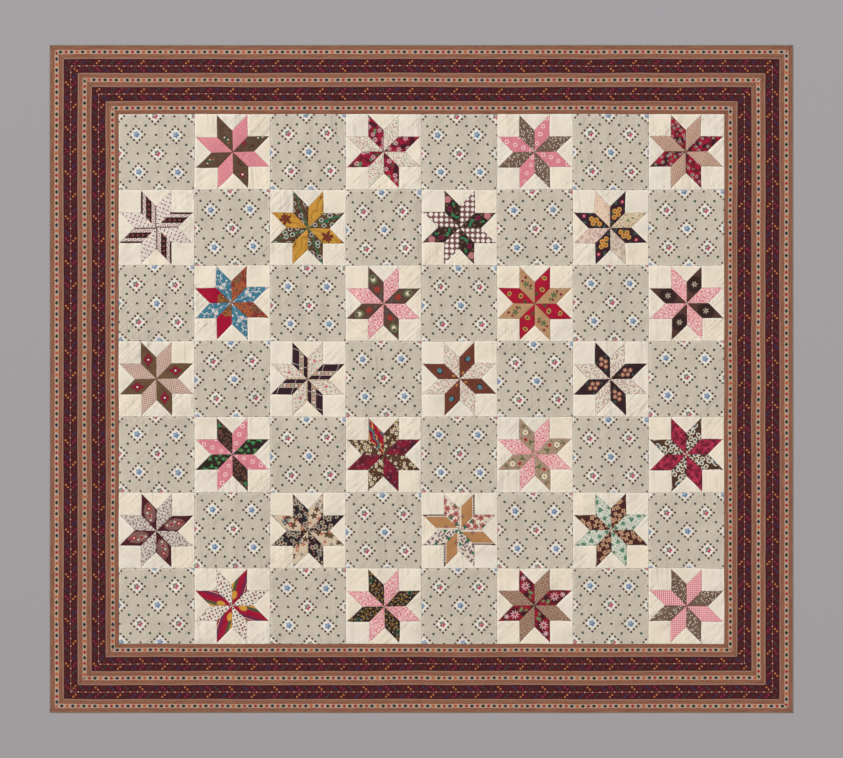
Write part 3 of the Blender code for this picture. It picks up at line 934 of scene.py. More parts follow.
CREAM = (228, 214, 196)
PRINTS = {
    # browns and near-blacks
    "brown_bloom": printed(
        (104, 78, 56), (86, 61, 44), 60, motif(9, 1.4, (60, 40, 32), Keep=0.7),
        motif(30, 3.0, (58, 34, 30), Keep=0.6),
        one((1800 + 16.5, -0.5), 9, (130, 20, 52), Petals=4, Lobes=0.3, Heart=(240, 226, 212),
            Hub=0.34),
        one((-21, 12), 8, (132, 20, 52), Petals=3, Lobes=0.4),
        one((1800 - 26, 6), 4, (96, 24, 42)), one((3, -8), 3.4, (70, 24, 34)),
        one((36, 5), 6, (50, 74, 56), Petals=2, Lobes=0.4),
        one((45, 6), 3, CREAM, Petals=4, Lobes=0.5), one((30, 9), 2.4, CREAM)),
    "brown_spray": printed(
        (104, 78, 56), (86, 61, 44), 60, motif(9, 1.4, (60, 40, 32), Keep=0.7),
        *(one((300 * cut + x + dx, y + dy), size, ink, Petals=2, Lobes=0.4, Turn=dx)
          for cut, x, y in ((4, 17, -3), (2, -19, 3))
          for dx, dy, size, ink in ((-6, 3, 5, (58, 84, 62)), (5, -4, 5, (50, 74, 56)),
                                    (-3, -5, 2.8, CREAM), (9, 3, 2.8, CREAM),
                                    (-13, -1, 2.6, (196, 120, 90))))),
    "taupe_arcs": printed(
        (124, 99, 80), (106, 82, 66), 30, band(24, 8, (112, 88, 72), winding=14),
        motif(6.2, 1.7, (230, 220, 204), Keep=0.4, Scatter=0.7),
        motif(26, 4.6, (106, 80, 64), Petals=5, Lobes=0.4, Keep=0.6)),
    "brown_paisley": printed(
        (104, 78, 46), (78, 54, 36), 45, band(11, 2.2, (56, 36, 30), winding=20),
        band(31, 4.6, (46, 108, 74), winding=30),
        motif(24, 6.6, (74, 118, 92), Other=(92, 66, 96), Share=0.5, Stretch=1.2,
              Rim=(216, 206, 192), Ring=0.26, Heart=(46, 40, 40), Hub=0.4, Keep=0.8),
        motif(9, 1.2, (196, 180, 160), Keep=0.4)),
    "dark_leaf": printed(
        (54, 37, 32), (42, 29, 28), 70,
        motif(12, 3, (104, 76, 50), Rim=(140, 102, 62), Ring=0.4, Keep=0.5),
        one((36, 3), 11, (188, 120, 124), Petals=9, Lobes=0.14),
        one((-20, 5), 7.5, (46, 124, 80), Petals=2, Lobes=0.55, Turn=0.5),
        one((-31, -5), 6.5, (46, 124, 80), Petals=2, Lobes=0.55, Turn=1.3),
        one((14, -9), 6, (46, 124, 80), Petals=2, Lobes=0.5, Turn=-0.4),
        one((4, 8), 7, (120, 26, 60), Heart=(70, 20, 40), Hub=0.4)),
    "white_dots": printed(
        (124, 84, 75), (116, 76, 70), 30,
        motif(17.5, 6.5, (238, 226, 217), Scatter=0.04, Spin=0.0, Petals=4, Lobes=0.12,
              Tilt=math.pi / 8)),
    "gold_flowers": printed(
        (60, 28, 40), (48, 22, 34), 60,
        motif(27, 5.6, (54, 92, 72), Petals=2, Lobes=0.5, Keep=0.7),
        one((30, -4), 6.4, (186, 60, 84), Petals=5, Lobes=0.3, Heart=(226, 150, 150), Hub=0.4),
        *(one((x, y), 7.6, (216, 158, 74), Petals=9, Lobes=0.1, Heart=(168, 104, 44),
              Hub=0.55) for x, y in ((-14, -8), (-8, 7), (3, -5), (-28, 1)))),
    "brown_arcs": printed(
        (106, 78, 62), (92, 64, 52), 40, band(8, 1.7, (66, 44, 38), winding=24),
        one((22, 1), 11.5, (104, 118, 78), Heart=(222, 206, 180), Hub=0.52, Stretch=1.25),
        one((28, 0), 4.5, (98, 70, 58)), one((-14, 2), 8.6, (160, 52, 42), Petals=9, Lobes=0.1),
        one((-38, 0), 6, (104, 84, 96), Rim=(64, 44, 40), Ring=0.25)),
    "dark_sprig": printed(
        (84, 54, 46), (72, 44, 39), 40, band(9, 1.2, (108, 74, 62), winding=22),
        one((2, 0), 21, (50, 29, 26), Stretch=1.25),
        one((2, 0), 9.5, (198, 184, 164), Petals=6, Lobes=0.8),
        one((2, 0), 3.2, (150, 128, 108))),
    "brown_rust_teal": printed(
        (118, 62, 44), (104, 52, 38), 40, band(7, 1.0, (98, 48, 36), winding=10),
        one((4, 1.5), 8.4, (46, 28, 26)),
        one((6, -1), 6.2, (78, 128, 138), Stretch=1.25, Turn=-0.39),
        one((-44, -2), 3.0, (190, 130, 62), Stretch=1.6)),
    "bead_stripe": printed(
        (54, 27, 37), (44, 21, 31), 60, band(46, 1.3, (220, 200, 184), 14, 48),
        band(400, 10, (156, 122, 98), -5, -22.5), band(400, 1.4, CREAM, -11.5, -22.5),
        band(400, 1.4, CREAM, 1.5, -22.5),
        *(one((12 * step, -5 * step - 5.5), 3.6, ink, Rim=CREAM, Ring=0.3)
          for step, ink in ((-4, (92, 130, 88)), (-3, (214, 120, 66)), (-2, CREAM),
                            (-1, (92, 130, 88)), (0, (214, 120, 66)), (1, CREAM),
                            (2, (92, 130, 88)), (3, (214, 120, 66)), (4, CREAM)))),
    "dark_tan_discs": printed(
        (56, 29, 33), (44, 22, 28), 50,
        motif(20, 4.6, (56, 94, 70), Petals=2, Lobes=0.5, Keep=0.4),
        *(one((x, y), 7.4, (170, 122, 100), Petals=7, Lobes=0.12, Rim=(120, 68, 58),
              Ring=0.16, Heart=(206, 150, 116), Hub=0.4)
          for x, y in ((-22, -3), (-9, 8), (-6, -9), (7, 1)))),
    "dark_green_leaf": printed(
        (50, 36, 28), (38, 28, 26), 50,
        motif(19, 7.4, (54, 128, 72), Petals=3, Lobes=0.45, Keep=0.85, Heart=(118, 170, 96),
              Hub=0.22),
        motif(23, 3.0, (150, 96, 84), Petals=5, Lobes=0.4, Keep=0.6)),
    "dark_rust": printed(
        (60, 38, 30), (46, 30, 27), 50,
        motif(11, 4.2, (132, 84, 64), Petals=5, Lobes=0.5, Keep=0.85, Heart=(80, 48, 38),
              Hub=0.35),
        one((40, 2), 7, (54, 124, 72), Petals=3, Lobes=0.4)),
    "brown_clusters": printed(
        (90, 60, 42), (76, 50, 36), 40,
        motif(15, 6.4, (222, 210, 184), Petals=5, Lobes=0.35, Heart=(132, 96, 62), Hub=0.34,
              Keep=0.75),
        motif(11, 2.4, (198, 164, 96), Keep=0.5)),
    "brown_pods": printed(
        (84, 56, 38), (70, 46, 34), 40,
        motif(17, 7.4, (226, 214, 190), Stretch=1.25, Heart=(66, 96, 112), Hub=0.5, Keep=0.8,
              Petals=6, Lobes=0.14),
        motif(19, 3.0, (110, 84, 50), Stretch=1.4, Keep=0.6)),
    "dark_blobs": printed(
        (44, 28, 33), (36, 22, 28), 60,
        motif(19, 8.4, (176, 158, 136), Stretch=1.2, Petals=5, Lobes=0.3, Heart=(50, 34, 36),
              Hub=0.36, Keep=0.75),
        motif(14, 2.2, (196, 120, 108), Other=(46, 104, 104), Share=0.5, Keep=0.6)),
    "dark_peach": printed(
        (80, 38, 32), (68, 32, 29), 60,
        motif(17, 8.2, (196, 152, 118), Petals=4, Lobes=0.4, Heart=(122, 70, 52), Hub=0.26,
              Keep=0.85)),
    "dark_gold": printed(
        (46, 33, 28), (36, 26, 26), 60, band(15, 1.7, (146, 110, 50), winding=34),
        motif(15, 3.6, (160, 122, 56), Petals=4, Lobes=0.55, Keep=0.7),
        one((31, 8), 6.5, (46, 104, 74), Heart=(46, 33, 28), Hub=0.6),
        motif(9, 1.3, (222, 212, 196), Keep=0.2)),
    "taupe_flowers": printed(
        (186, 158, 132), (168, 140, 116), 40, motif(6.4, 1.5, (136, 108, 88)),
        motif(17, 3.8, (98, 92, 58), Petals=3, Lobes=0.5, Keep=0.5),
        one((14, 0), 12.5, (230, 220, 196), Petals=6, Lobes=0.25, Rim=(74, 68, 44), Ring=0.18,
            Heart=(196, 150, 74), Hub=0.3),
        one((-8, 9), 6.4, (184, 60, 56), Petals=5, Lobes=0.3, Heart=(120, 30, 40), Hub=0.4),
        one((-22, -4), 8, (104, 106, 66), Petals=3, Lobes=0.5),
        one((36, -3), 6, (104, 106, 66), Petals=3, Lobes=0.5)),
    "maroon_cloud": printed(
        (80, 22, 34), (70, 19, 30), 50,
        one((-2, -2), 18, (128, 90, 82), Stretch=1.75, Petals=9, Lobes=0.08, Turn=-0.2),
        one((12, -5), 8, (160, 36, 46), Petals=5, Lobes=0.35, Heart=CREAM, Hub=0.3),
        one((-12, 2), 8, (150, 34, 46), Petals=5, Lobes=0.35, Rim=(196, 176, 160), Ring=0.2),
        one((-26, 4), 3.4, (206, 190, 172)), one((1, 6), 3.4, (206, 190, 172)),
        one((25, -6), 3.4, (150, 34, 46))),
    # reds
    "crimson_garden": printed(
        (166, 22, 54), (62, 20, 32), 42,
        motif(30, 8.6, (96, 132, 88), Petals=2, Lobes=0.45, Other=(96, 68, 47), Share=0.5,
              Keep=0.55),
        motif(27, 8.6, (222, 184, 186), Petals=7, Lobes=0.6, Heart=(160, 44, 66), Hub=0.34,
              Keep=0.7), contrast=2.4),
    "crimson_late": printed(
        (162, 20, 50), (60, 20, 30), 46,
        motif(17, 6.4, (206, 178, 172), Petals=6, Lobes=0.45, Rim=(120, 40, 56), Ring=0.14,
              Heart=(110, 40, 56), Hub=0.4, Keep=0.62),
        motif(19, 4, (92, 124, 78), Petals=2, Lobes=0.4, Keep=0.5), contrast=2.4),
    "crimson_paisley": printed(
        (152, 34, 44), (116, 62, 44), 60,
        motif(13, 5.4, (176, 96, 50), Stretch=1.5, Other=(92, 96, 60), Share=0.5, Keep=0.85,
              Rim=(184, 116, 60), Ring=0.16, Heart=(138, 26, 42), Hub=0.4)),
    "crimson_half": printed(
        (170, 2, 46), (158, 0, 44), 30, one((-42, -4), 24, (150, 92, 46), Petals=9, Lobes=0.12),
        one((-46, 2), 7, (88, 92, 54), Heart=(170, 30, 46), Hub=0.4),
        one((-32, -8), 6, (110, 52, 36), Stretch=1.4, Heart=(190, 130, 70), Hub=0.4)),
    "crimson_olive": printed(
        (176, 12, 48), (160, 8, 44), 30,
        one((-14, -5), 8.6, (182, 156, 78), Petals=8, Lobes=0.1, Stretch=0.8, Heart=(112, 60, 44),
            Hub=0.5),
        one((24, 3), 8.0, (182, 156, 78), Petals=8, Lobes=0.1, Stretch=0.8, Heart=(112, 60, 44),
            Hub=0.5),
        one((-34, 7), 5.4, (96, 70, 46), Stretch=1.3)),
    "crimson_scrolls": printed(
        (164, 22, 46), (120, 20, 40), 35, band(22, 3.0, (212, 168, 88), winding=34),
        band(31, 7, (70, 112, 112), 6, winding=30), contrast=2.0),
    "crimson_dusk": printed(
        (140, 22, 46), (66, 26, 38), 40,
        motif(16, 5, (150, 70, 92), Petals=5, Lobes=0.5, Keep=0.6), contrast=2.0),
    "crimson_mottle": printed(
        (92, 14, 34), (186, 48, 78), 60,
        motif(16, 3.6, (66, 14, 28), Petals=4, Lobes=0.4, Keep=0.6), contrast=1.9),
    "crimson_blur": printed(
        (168, 10, 50), (146, 8, 46), 30, band(90, 10, (74, 86, 60), 15, 4, 10),
        band(90, 6, (208, 152, 58), 22, 4, 10), band(90, 6, (96, 40, 76), -13, 4, 8),
        band(90, 1.8, (224, 190, 164), -19, 4, 6), one((-30, 8), 9, (210, 150, 56), Stretch=1.5)),
    "crimson_spikes": printed(
        (160, 20, 48), (58, 20, 30), 40,
        one((6, 2), 14, (216, 170, 172), Petals=9, Lobes=0.62, Heart=(160, 44, 62), Hub=0.3),
        one((34, -2), 9, (214, 166, 168), Petals=7, Lobes=0.6),
        one((-20, -5), 8, (104, 134, 88), Petals=2, Lobes=0.5, Turn=0.6),
        one((-34, 3), 5.4, (104, 134, 88), Petals=2, Lobes=0.5), contrast=2.2),
    "crimson_cross": printed(
        (112, 86, 58), (98, 72, 50), 40, motif(7, 0.9, (70, 46, 36), Keep=0.6),
        one((3, 0), 14.5, (92, 50, 42), Petals=4, Lobes=0.3, Stretch=1.45, Turn=-0.39),
        one((3, 0), 12.8, (140, 18, 46), Petals=4, Lobes=0.36, Stretch=1.45, Turn=-0.39),
        one((3, 0), 5.0, (84, 22, 34), Stretch=1.3, Turn=-0.39),
        one((3, 0), 2.9, (240, 226, 212))),
    # pinks
    "pink_pins": printed(
        (230, 150, 154), (224, 140, 146), 30, motif(6.4, 1.6, (196, 96, 118), Scatter=0.12)),
    "pink_rings": printed(
        (226, 142, 148), (219, 132, 140), 30, band(3.0, 1.1, (210, 118, 136), turn=45),
        motif(29, 6.8, (226, 132, 148), Scatter=0.2, Petals=4, Lobes=0.16, Spin=0.06,
              Rim=(246, 220, 216), Ring=0.34, Heart=(206, 96, 120), Hub=0.2)),
    "pink_squiggle": printed(
        (224, 118, 130), (218, 110, 124), 30, band(9.6, 2.7, (240, 208, 200), winding=30),
        band(9.6, 2.3, (240, 208, 200), turn=90, winding=30),
        motif(9, 1.6, (240, 208, 200), Keep=0.6)),
    "pink_check": printed(
        (234, 156, 158), (228, 146, 150), 30, band(6.6, 2.7, (208, 100, 116), turn=24),
        band(6.6, 2.2, (242, 202, 198), turn=114)),
    # teals, yellows and tans
    "teal_clouds": printed(
        (58, 118, 142), (70, 128, 148), 40,
        motif(17, 4.4, (206, 202, 196), Petals=5, Lobes=0.5, Keep=0.6),
        band(26, 2.2, (204, 206, 202), winding=40),
        motif(9, 2.6, (64, 116, 132), Other=(222, 176, 176), Share=0.6, Petals=4, Lobes=0.4,
              Keep=0.45),
        one((-6, 12), 7, (216, 204, 198), Petals=6, Lobes=0.3)),
    "mustard_leaf": printed(
        (208, 154, 62), (196, 142, 48), 25, band(24, 1.7, (132, 82, 40), winding=40),
        band(24, 1.4, (132, 82, 40), offset=5, winding=40),
        *(one((300 * cut + x + dx, y), size, (112, 50, 32), Petals=5, Lobes=0.7,
              Turn=0.4 + dx)
          for cut, x, y in ((3, 14, 3), (7, 4, -1))
          for dx, size in ((0, 20), (3, 16)))),
    "tan_leaves": printed(
        (194, 154, 114), (182, 140, 98), 30, motif(5, 0.9, (150, 108, 76), Keep=0.7),
        one((4, 2), 11, (100, 110, 72), Petals=5, Lobes=0.55),
        one((-14, -6), 6.4, (100, 110, 72), Petals=3, Lobes=0.5), one((18, 9), 4, (128, 44, 52)),
        one((-6, -11), 4, (128, 44, 52)), one((26, -5), 4.4, (128, 44, 52))),
    "tan_pins": printed(
        (203, 170, 148), (195, 161, 138), 30, motif(6.6, 1.7, (142, 92, 78), Scatter=0.2)),
    "gingham": printed(
        (206, 176, 158), (198, 168, 150), 30, band(6.6, 2.6, (156, 108, 96), turn=12),
        band(6.6, 2.2, (216, 192, 176), turn=102)),
    "tan_beads": printed(
        (186, 134, 86), (178, 126, 80), 30, band(400, 8, (226, 212, 194), -21.5, 22.5),
        band(400, 5.4, (84, 56, 54), -22.5, 22.5), band(400, 7, (228, 214, 196), 22.5, 22.5),
        *(one((8 * step, 3.3 * step - 24.3), 1.7, CREAM) for step in range(-6, 7)),
        one((-22, 8), 5.2, (118, 72, 76), Petals=5, Lobes=0.3, Heart=(200, 160, 130), Hub=0.35)),
    "tan_dots": printed(
        (170, 137, 114), (161, 128, 106), 30,
        motif(9.5, 2.6, (112, 76, 60), Petals=3, Lobes=0.3, Scatter=0.4)),
    "cream_patches": printed(
        (217, 196, 168), (206, 184, 156), 40,
        motif(30, 13, (92, 66, 44), Petals=5, Lobes=0.5, Keep=0.6),
        motif(19, 6.5, (88, 116, 132), Other=(176, 56, 62), Share=0.5, Petals=5, Lobes=0.4,
              Keep=0.7, Heart=(222, 190, 120), Hub=0.3)),
    # creams and whites
    "red_stripe": printed(
        (226, 214, 202), (216, 204, 192), 30,
        motif(7.4, 2.3, (160, 76, 80), Heart=(150, 146, 142), Hub=0.35, Scatter=0.25),
        band(400, 19, (50, 22, 25), -0.5, -22.5), band(400, 3.4, (50, 22, 25), -24, -22.5),
        band(400, 6, (50, 22, 25), 22.6, -22.5),
        *(one((15.5 * step, -6.4 * step - 0.5), 3.4, (148, 70, 68), Heart=(92, 34, 38),
              Hub=0.4) for step in (-2, -1, 0, 1, 2))),
    "cream_slants": printed(
        (231, 218, 205), (224, 210, 197), 30,
        motif(13.2, 4.6, (120, 74, 70), Scatter=0.15, Stretch=0.36, Spin=0.2, Turn=0.6)),
    "cream_ticks": printed(
        (231, 219, 200), (224, 210, 190), 30, band(400, 9, (220, 192, 166), 24, 22.5),
        motif(7.4, 2.3, (92, 98, 80), Petals=3, Lobes=0.6, Keep=0.8),
        motif(16, 3.4, (214, 130, 136), Petals=5, Lobes=0.4, Keep=0.5),
        one((0, 2), 5.4, (222, 128, 138), Petals=5, Lobes=0.35, Heart=(150, 60, 70), Hub=0.3)),
    "peach_dots": printed(
        (230, 204, 178), (222, 192, 166), 12, motif(16, 1.8, (112, 74, 60), Keep=0.5)),
    "peach_scrolls": printed(
        (222, 200, 168), (212, 186, 154), 20, band(17, 1.5, (104, 126, 84), winding=34),
        motif(9, 1.5, (110, 84, 62), Keep=0.5)),
    "peach_rings": printed(
        (226, 202, 184), (220, 194, 176), 20,
        motif(11.5, 4.2, (226, 200, 186), Petals=5, Lobes=0.2, Rim=(134, 64, 60), Ring=0.34,
              Keep=0.8)),
    "cream_rings": printed(
        (220, 202, 182), (212, 192, 172), 20,
        motif(14, 5.0, (216, 196, 172), Petals=6, Lobes=0.16, Rim=(122, 96, 88), Ring=0.24,
              Keep=0.8, Heart=(112, 84, 78), Hub=0.2)),
    "cream_rust": printed(
        (231, 219, 202), (224, 211, 193), 30,
        motif(7.6, 2.4, (156, 92, 68), Petals=3, Lobes=0.6, Other=(108, 114, 86), Share=0.5,
              Keep=0.9),
        motif(15, 2.8, (204, 120, 120), Petals=4, Lobes=0.3, Keep=0.6)),
    "cream_sprig": printed(
        (232, 220, 203), (225, 212, 194), 30,
        motif(8.2, 2.7, (126, 118, 90), Petals=3, Lobes=0.6, Keep=0.85),
        motif(12, 2.6, (202, 124, 122), Petals=4, Lobes=0.3, Keep=0.7)),
    "grey_ticks": printed(
        (211, 201, 188), (203, 192, 179), 30,
        motif(10.5, 3.9, (98, 64, 62), Stretch=0.42, Spin=0.5, Scatter=0.5),
        motif(15, 1.9, (130, 30, 50), Keep=0.7)),
    "cream_coral": printed(
        (230, 217, 198), (222, 208, 188), 30,
        motif(21, 11, (184, 100, 88), Petals=6, Lobes=0.35, Keep=0.9, Heart=(150, 66, 60),
              Hub=0.3),
        motif(27, 8.6, (34, 112, 80), Petals=3, Lobes=0.45, Keep=0.6),
        motif(9, 2.2, (104, 74, 92), Keep=0.4)),
    "cream_purple": printed(
        (229, 215, 196), (221, 206, 187), 30,
        motif(9.4, 4.4, (112, 82, 96), Petals=4, Lobes=0.35, Keep=0.8),
        motif(34, 8, (34, 116, 82), Petals=3, Lobes=0.4, Keep=0.7)),
    "mint_hearts": printed(
        (215, 217, 199), (208, 210, 191), 30, motif(6.8, 1.6, (98, 134, 114), Keep=0.8),
        motif(27, 8.2, (92, 134, 108), Petals=3, Lobes=0.3, Scatter=0.4, Keep=0.85)),
    "cream_dots": printed(
        (233, 221, 205), (226, 213, 196), 30,
        motif(11.6, 3.3, (44, 32, 36), Scatter=0.4, Other=(128, 30, 44), Share=0.7, Petals=3,
              Lobes=0.25)),
}
STARS = {  # prints at 22.5 degrees and on, those between them, spacing of cuts in metres
    "r1c2": ("brown_bloom brown_spray brown_spray brown_bloom", "pink_pins", 0.3),
    "r1c4": ("crimson_garden", "cream_ticks", 0.3),
    "r1c6": ("taupe_arcs", "pink_rings", 0.3), "r1c8": ("crimson_late", "tan_pins", 0.3),
    "r2c1": ("red_stripe", "cream_slants", 0), "r2c3": ("brown_paisley", "mustard_leaf", 0.3),
    "r2c5": ("dark_leaf", "white_dots", 0),
    "r2c7": ("peach_scrolls peach_dots peach_rings cream_rings", "gold_flowers", 0),
    "r3c2": ("teal_clouds", "crimson_paisley crimson_half crimson_half crimson_paisley", 0),
    "r3c4": ("brown_arcs", "pink_squiggle", 0), "r3c6": ("tan_leaves", "crimson_olive", 0),
    "r3c8": ("pink_squiggle", "dark_sprig", 0), "r4c1": ("crimson_cross", "gingham", 0),
    "r4c3": ("bead_stripe", "cream_ticks", 0), "r4c5": ("cream_rust", "brown_rust_teal", 0),
    "r4c7": ("dark_tan_discs", "cream_sprig", 0),
    "r5c2": ("dark_green_leaf dark_rust dark_green_leaf dark_rust", "pink_rings", 0),
    "r5c4": ("crimson_dusk crimson_scrolls crimson_dusk crimson_dusk", "brown_clusters", 0.4),
    "r5c6": ("taupe_flowers", "pink_squiggle", 0), "r5c8": ("crimson_mottle", "brown_pods", 0),
    "r6c1": ("maroon_cloud", "grey_ticks", 0), "r6c3": ("dark_blobs", "cream_patches", 0.5),
    "r6c5": ("cream_coral cream_coral cream_purple cream_purple", "tan_beads", 0),
    "r6c7": ("mint_hearts", "dark_peach", 0), "r7c2": ("cream_dots", "crimson_blur", 0),
    "r7c4": ("dark_gold", "pink_squiggle", 0), "r7c6": ("crimson_spikes", "tan_dots", 0),
    "r7c8": ("taupe_arcs", "pink_check", 0.6),
}
cloths = {}
for entry in STARS.values():
    for name in f"{entry[0]} {entry[1]}".split():
        if name not in cloths:
            cloths[name] = cloth_material(name, PRINTS[name], line=0.22)

TIP_ANGLE = math.pi / 8
for row, column in STAR_BLOCKS:
    key = f"r{row}c{column}"
    centre = block_centre(row, column)
    first, second, apart = STARS[key]
    used = list(dict.fromkeys(f"{first} {second}".split()))
    turns = [used.index((names.split() * 4)[number]) for number in range(4)
             for names in (first, second)]
    shape = new_cloth()
    for eighth in range(8):
        angle = TIP_ANGLE + eighth * math.pi / 4
        cos, sin = math.cos(eighth * math.pi / 4), math.sin(eighth * math.pi / 4)
        outline = [(centre[0] + x * cos - z * sin, centre[1] + x * sin + z * cos)
                   for x, z in ((0, 0), (side, 0), (side + notch, notch), (notch, notch))]
        faces = cut_patch(shape, outline, PATCH_CELL, TOP_SEAMS)
        for face in faces:
            face.material_index = turns[eighth]
        reach = side * math.cos(TIP_ANGLE)
        middle = (centre[0] + reach * math.cos(angle), centre[1] + reach * math.sin(angle))
        map_cloth(shape, faces, middle, angle, (apart * eighth, 0.0))
    lie_on_top(shape, slack=0.6, cushion=0.0009)
    turn_faces(shape, -1)
    star = finish_cloth(f"prints_{key}", shape, [cloths[name] for name in used])
    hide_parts(f"star_{key}")


# ---------------------------------------------------------------- printed squares
# The squares between the stars are whole pieces of one pale print: diamonds of brown dots
# round a small flower, with heart-shaped dots between them.

PRINT_ACROSS, PRINT_DOWN = 0.131, 0.125  # repeat of the print
PRINT_LEAN = 0.07  # the print's columns run this far sideways down the cloth


def lozenge_group():
    """One set of the print's diamonds: a white lozenge, twelve dots and a flower."""
    group, given, out = new_group("lozenge", {
        "Under": "colour", "Cloth": "vector", "Origin": "vector",
        "Petal": "colour", "Other half": "colour"}, {"Colour": "colour"})
    local = place(group, "ShaderNodeVectorMath", {0: given["Cloth"], 1: given["Origin"]},
                  operation="SUBTRACT")[0]
    at = place(group, "ShaderNodeSeparateXYZ", {0: local})

    def wrapped(value, pitch):
        return value.step("WRAP", pitch / 2, -pitch / 2)

    x, z = wrapped(at[0], PRINT_ACROSS), wrapped(at[1], PRINT_DOWN)
    (rising, falling) = (x + z, x - z)
    out_to = rising.step("ABSOLUTE").step("MAXIMUM", falling.step("ABSOLUTE"))
    white = out_to.scaled(-600.0, 14.0).clamped()
    colour = mixed(group, white * 0.8, given["Under"], dye(236, 231, 219))
    dot_a = wrapped(rising - 0.00933, 0.01867)
    dot_b = wrapped(falling - 0.00933, 0.01867)
    dot_far = (dot_a * dot_a + dot_b * dot_b).step("SQRT")
    on_ring = (out_to - 0.028).step("ABSOLUTE").step("LESS_THAN", 0.0075)
    dot = on_ring * dot_far.scaled(-900.0, 5.2).clamped()
    colour = mixed(group, dot, colour, dye(70, 46, 40))
    far = (x * x + z * z).step("SQRT")
    wave = (z.step("ARCTAN2", x) * 5.0).step("COSINE")
    petal = wave.scaled(0.0017, 0.0098)
    flower = ((petal - far) * 1300.0).clamped()
    half = (z - x).scaled(900.0, 0.5).clamped()
    petals = mixed(group, half, given["Petal"], given["Other half"])
    colour = mixed(group, flower, colour, petals)
    heart = far.scaled(-1500.0, 3.6).clamped()
    mixed(group, heart, colour, dye(206, 190, 160)).into(out["Colour"])
    return group


def dot_group():
    """Dots on a plain lattice, each drawn in at one side like a small heart."""
    group, given, out = new_group("lattice_dots", {
        "Under": "colour", "Cloth": "vector", "Origin": "vector",
        "Across": 0.06, "Down": 0.06, "Size": 0.003,
        "Ink": "colour"}, {"Colour": "colour"})
    local = place(group, "ShaderNodeVectorMath", {0: given["Cloth"], 1: given["Origin"]},
                  operation="SUBTRACT")[0]
    at = place(group, "ShaderNodeSeparateXYZ", {0: local})

    def wrapped(value, pitch):
        return value.step("WRAP", pitch * 0.5, pitch * -0.5)

    x, z = wrapped(at[0], given["Across"]), wrapped(at[1], given["Down"])
    far = (x * x + z * z).step("SQRT")
    dented = x.step("ARCTAN2", z).step("COSINE").scaled(-0.25, 1.0)
    inside = given["Size"] * dented - far
    dot = inside.scaled(1500.0, 0.5).clamped()
    mixed(group, dot, given["Under"], given["Ink"]).into(out["Colour"])
    return group


lozenge = lozenge_group()
lattice_dots = dot_group()


def square_colours(tree, at):
    """The whole pale print, from its ground up."""
    cloud = clouds(tree, at, 12.0, 3.0)
    colour = mixed(tree, cloud, dye(208, 197, 178), dye(198, 187, 167))
    dots = (  # origin, lattice across and down, size, ink
        ((PRINT_ACROSS / 2, 0, 0), PRINT_ACROSS, PRINT_DOWN, 0.0040, dye(84, 58, 50)),
        ((0, PRINT_DOWN / 2, 0), PRINT_ACROSS, PRINT_DOWN, 0.0040, dye(84, 58, 50)),
        ((PRINT_ACROSS / 4, PRINT_DOWN / 4, 0), PRINT_ACROSS / 2, PRINT_DOWN / 2, 0.0044,
         dye(72, 90, 84)),
    )
    for origin, across, down, size, ink in dots:
        colour = use(tree, lattice_dots, {"Under": colour, "Cloth": at, "Origin": origin,
                                          "Across": across, "Down": down, "Size": size,
                                          "Ink": ink})["Colour"]
    colour = use(tree, lozenge, {"Under": colour, "Cloth": at, "Petal": dye(98, 128, 162),
                                 "Other half": dye(136, 158, 184)})["Colour"]
    return use(tree, lozenge, {"Under": colour, "Cloth": at,
                               "Origin": (PRINT_ACROSS / 2, PRINT_DOWN / 2, 0),
                               "Petal": dye(186, 74, 98),
                               "Other half": dye(124, 132, 116)})["Colour"]


square_print = cloth_material("square_print", square_colours, turned=0.12, line=0.3,
                              slack=0.005)
for row in range(1, 8):
    for column in range(2 - row % 2, 9, 2):
        centre = block_centre(row, column)
        reach = block / 2
        shape = new_cloth()
        faces = cut_patch(shape, rectangle(centre[0] - reach, centre[1] - reach,
                                           centre[0] + reach, centre[1] + reach),
                          PATCH_CELL, TOP_SEAMS)
        # Neighbours two apart were cut from the strip with the other flower first.
        swapped = ((column + 1) // 2 + (row - 1) // 2) % 2 == 0
        first = (0.056 + 0.006 * draw_chance(row, column),
                 0.066 + 0.014 * (draw_chance(column, row) - 0.5))
        start = (-first[0] + PRINT_ACROSS / 2 * swapped, first[1] + PRINT_DOWN / 2 * swapped)
        cloth = shape.loops.layers.uv["Cloth"]
        for face in faces:
            for loop in face.loops:
                x = loop.vert.co.x - centre[0] + reach
                z = loop.vert.co.z - centre[1] - reach
                loop[cloth].uv = (x + PRINT_LEAN * (z + first[1]) + start[0], z + start[1])
        lie_on_top(shape, turned=0.6)
        turn_faces(shape, -1)
        square = finish_cloth(f"square_r{row}c{column}", shape, [square_print])
        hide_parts(f"row_{row}")


# ---------------------------------------------------------------- border
# Four strips of one striped garden print run round the quilt and meet at mitred corners.
# Tan bands with a row of little diamonds take turns with maroon bands of paired flowers.

BORDER_CELL = 0.01
STRIPE_REPEAT = 0.094
FIRST_ROW = 0.0241  # from the quilt's edge to the middle of the first row of diamonds
DIAMOND_PITCH = 0.0186
SPRIG_PITCH = 0.025


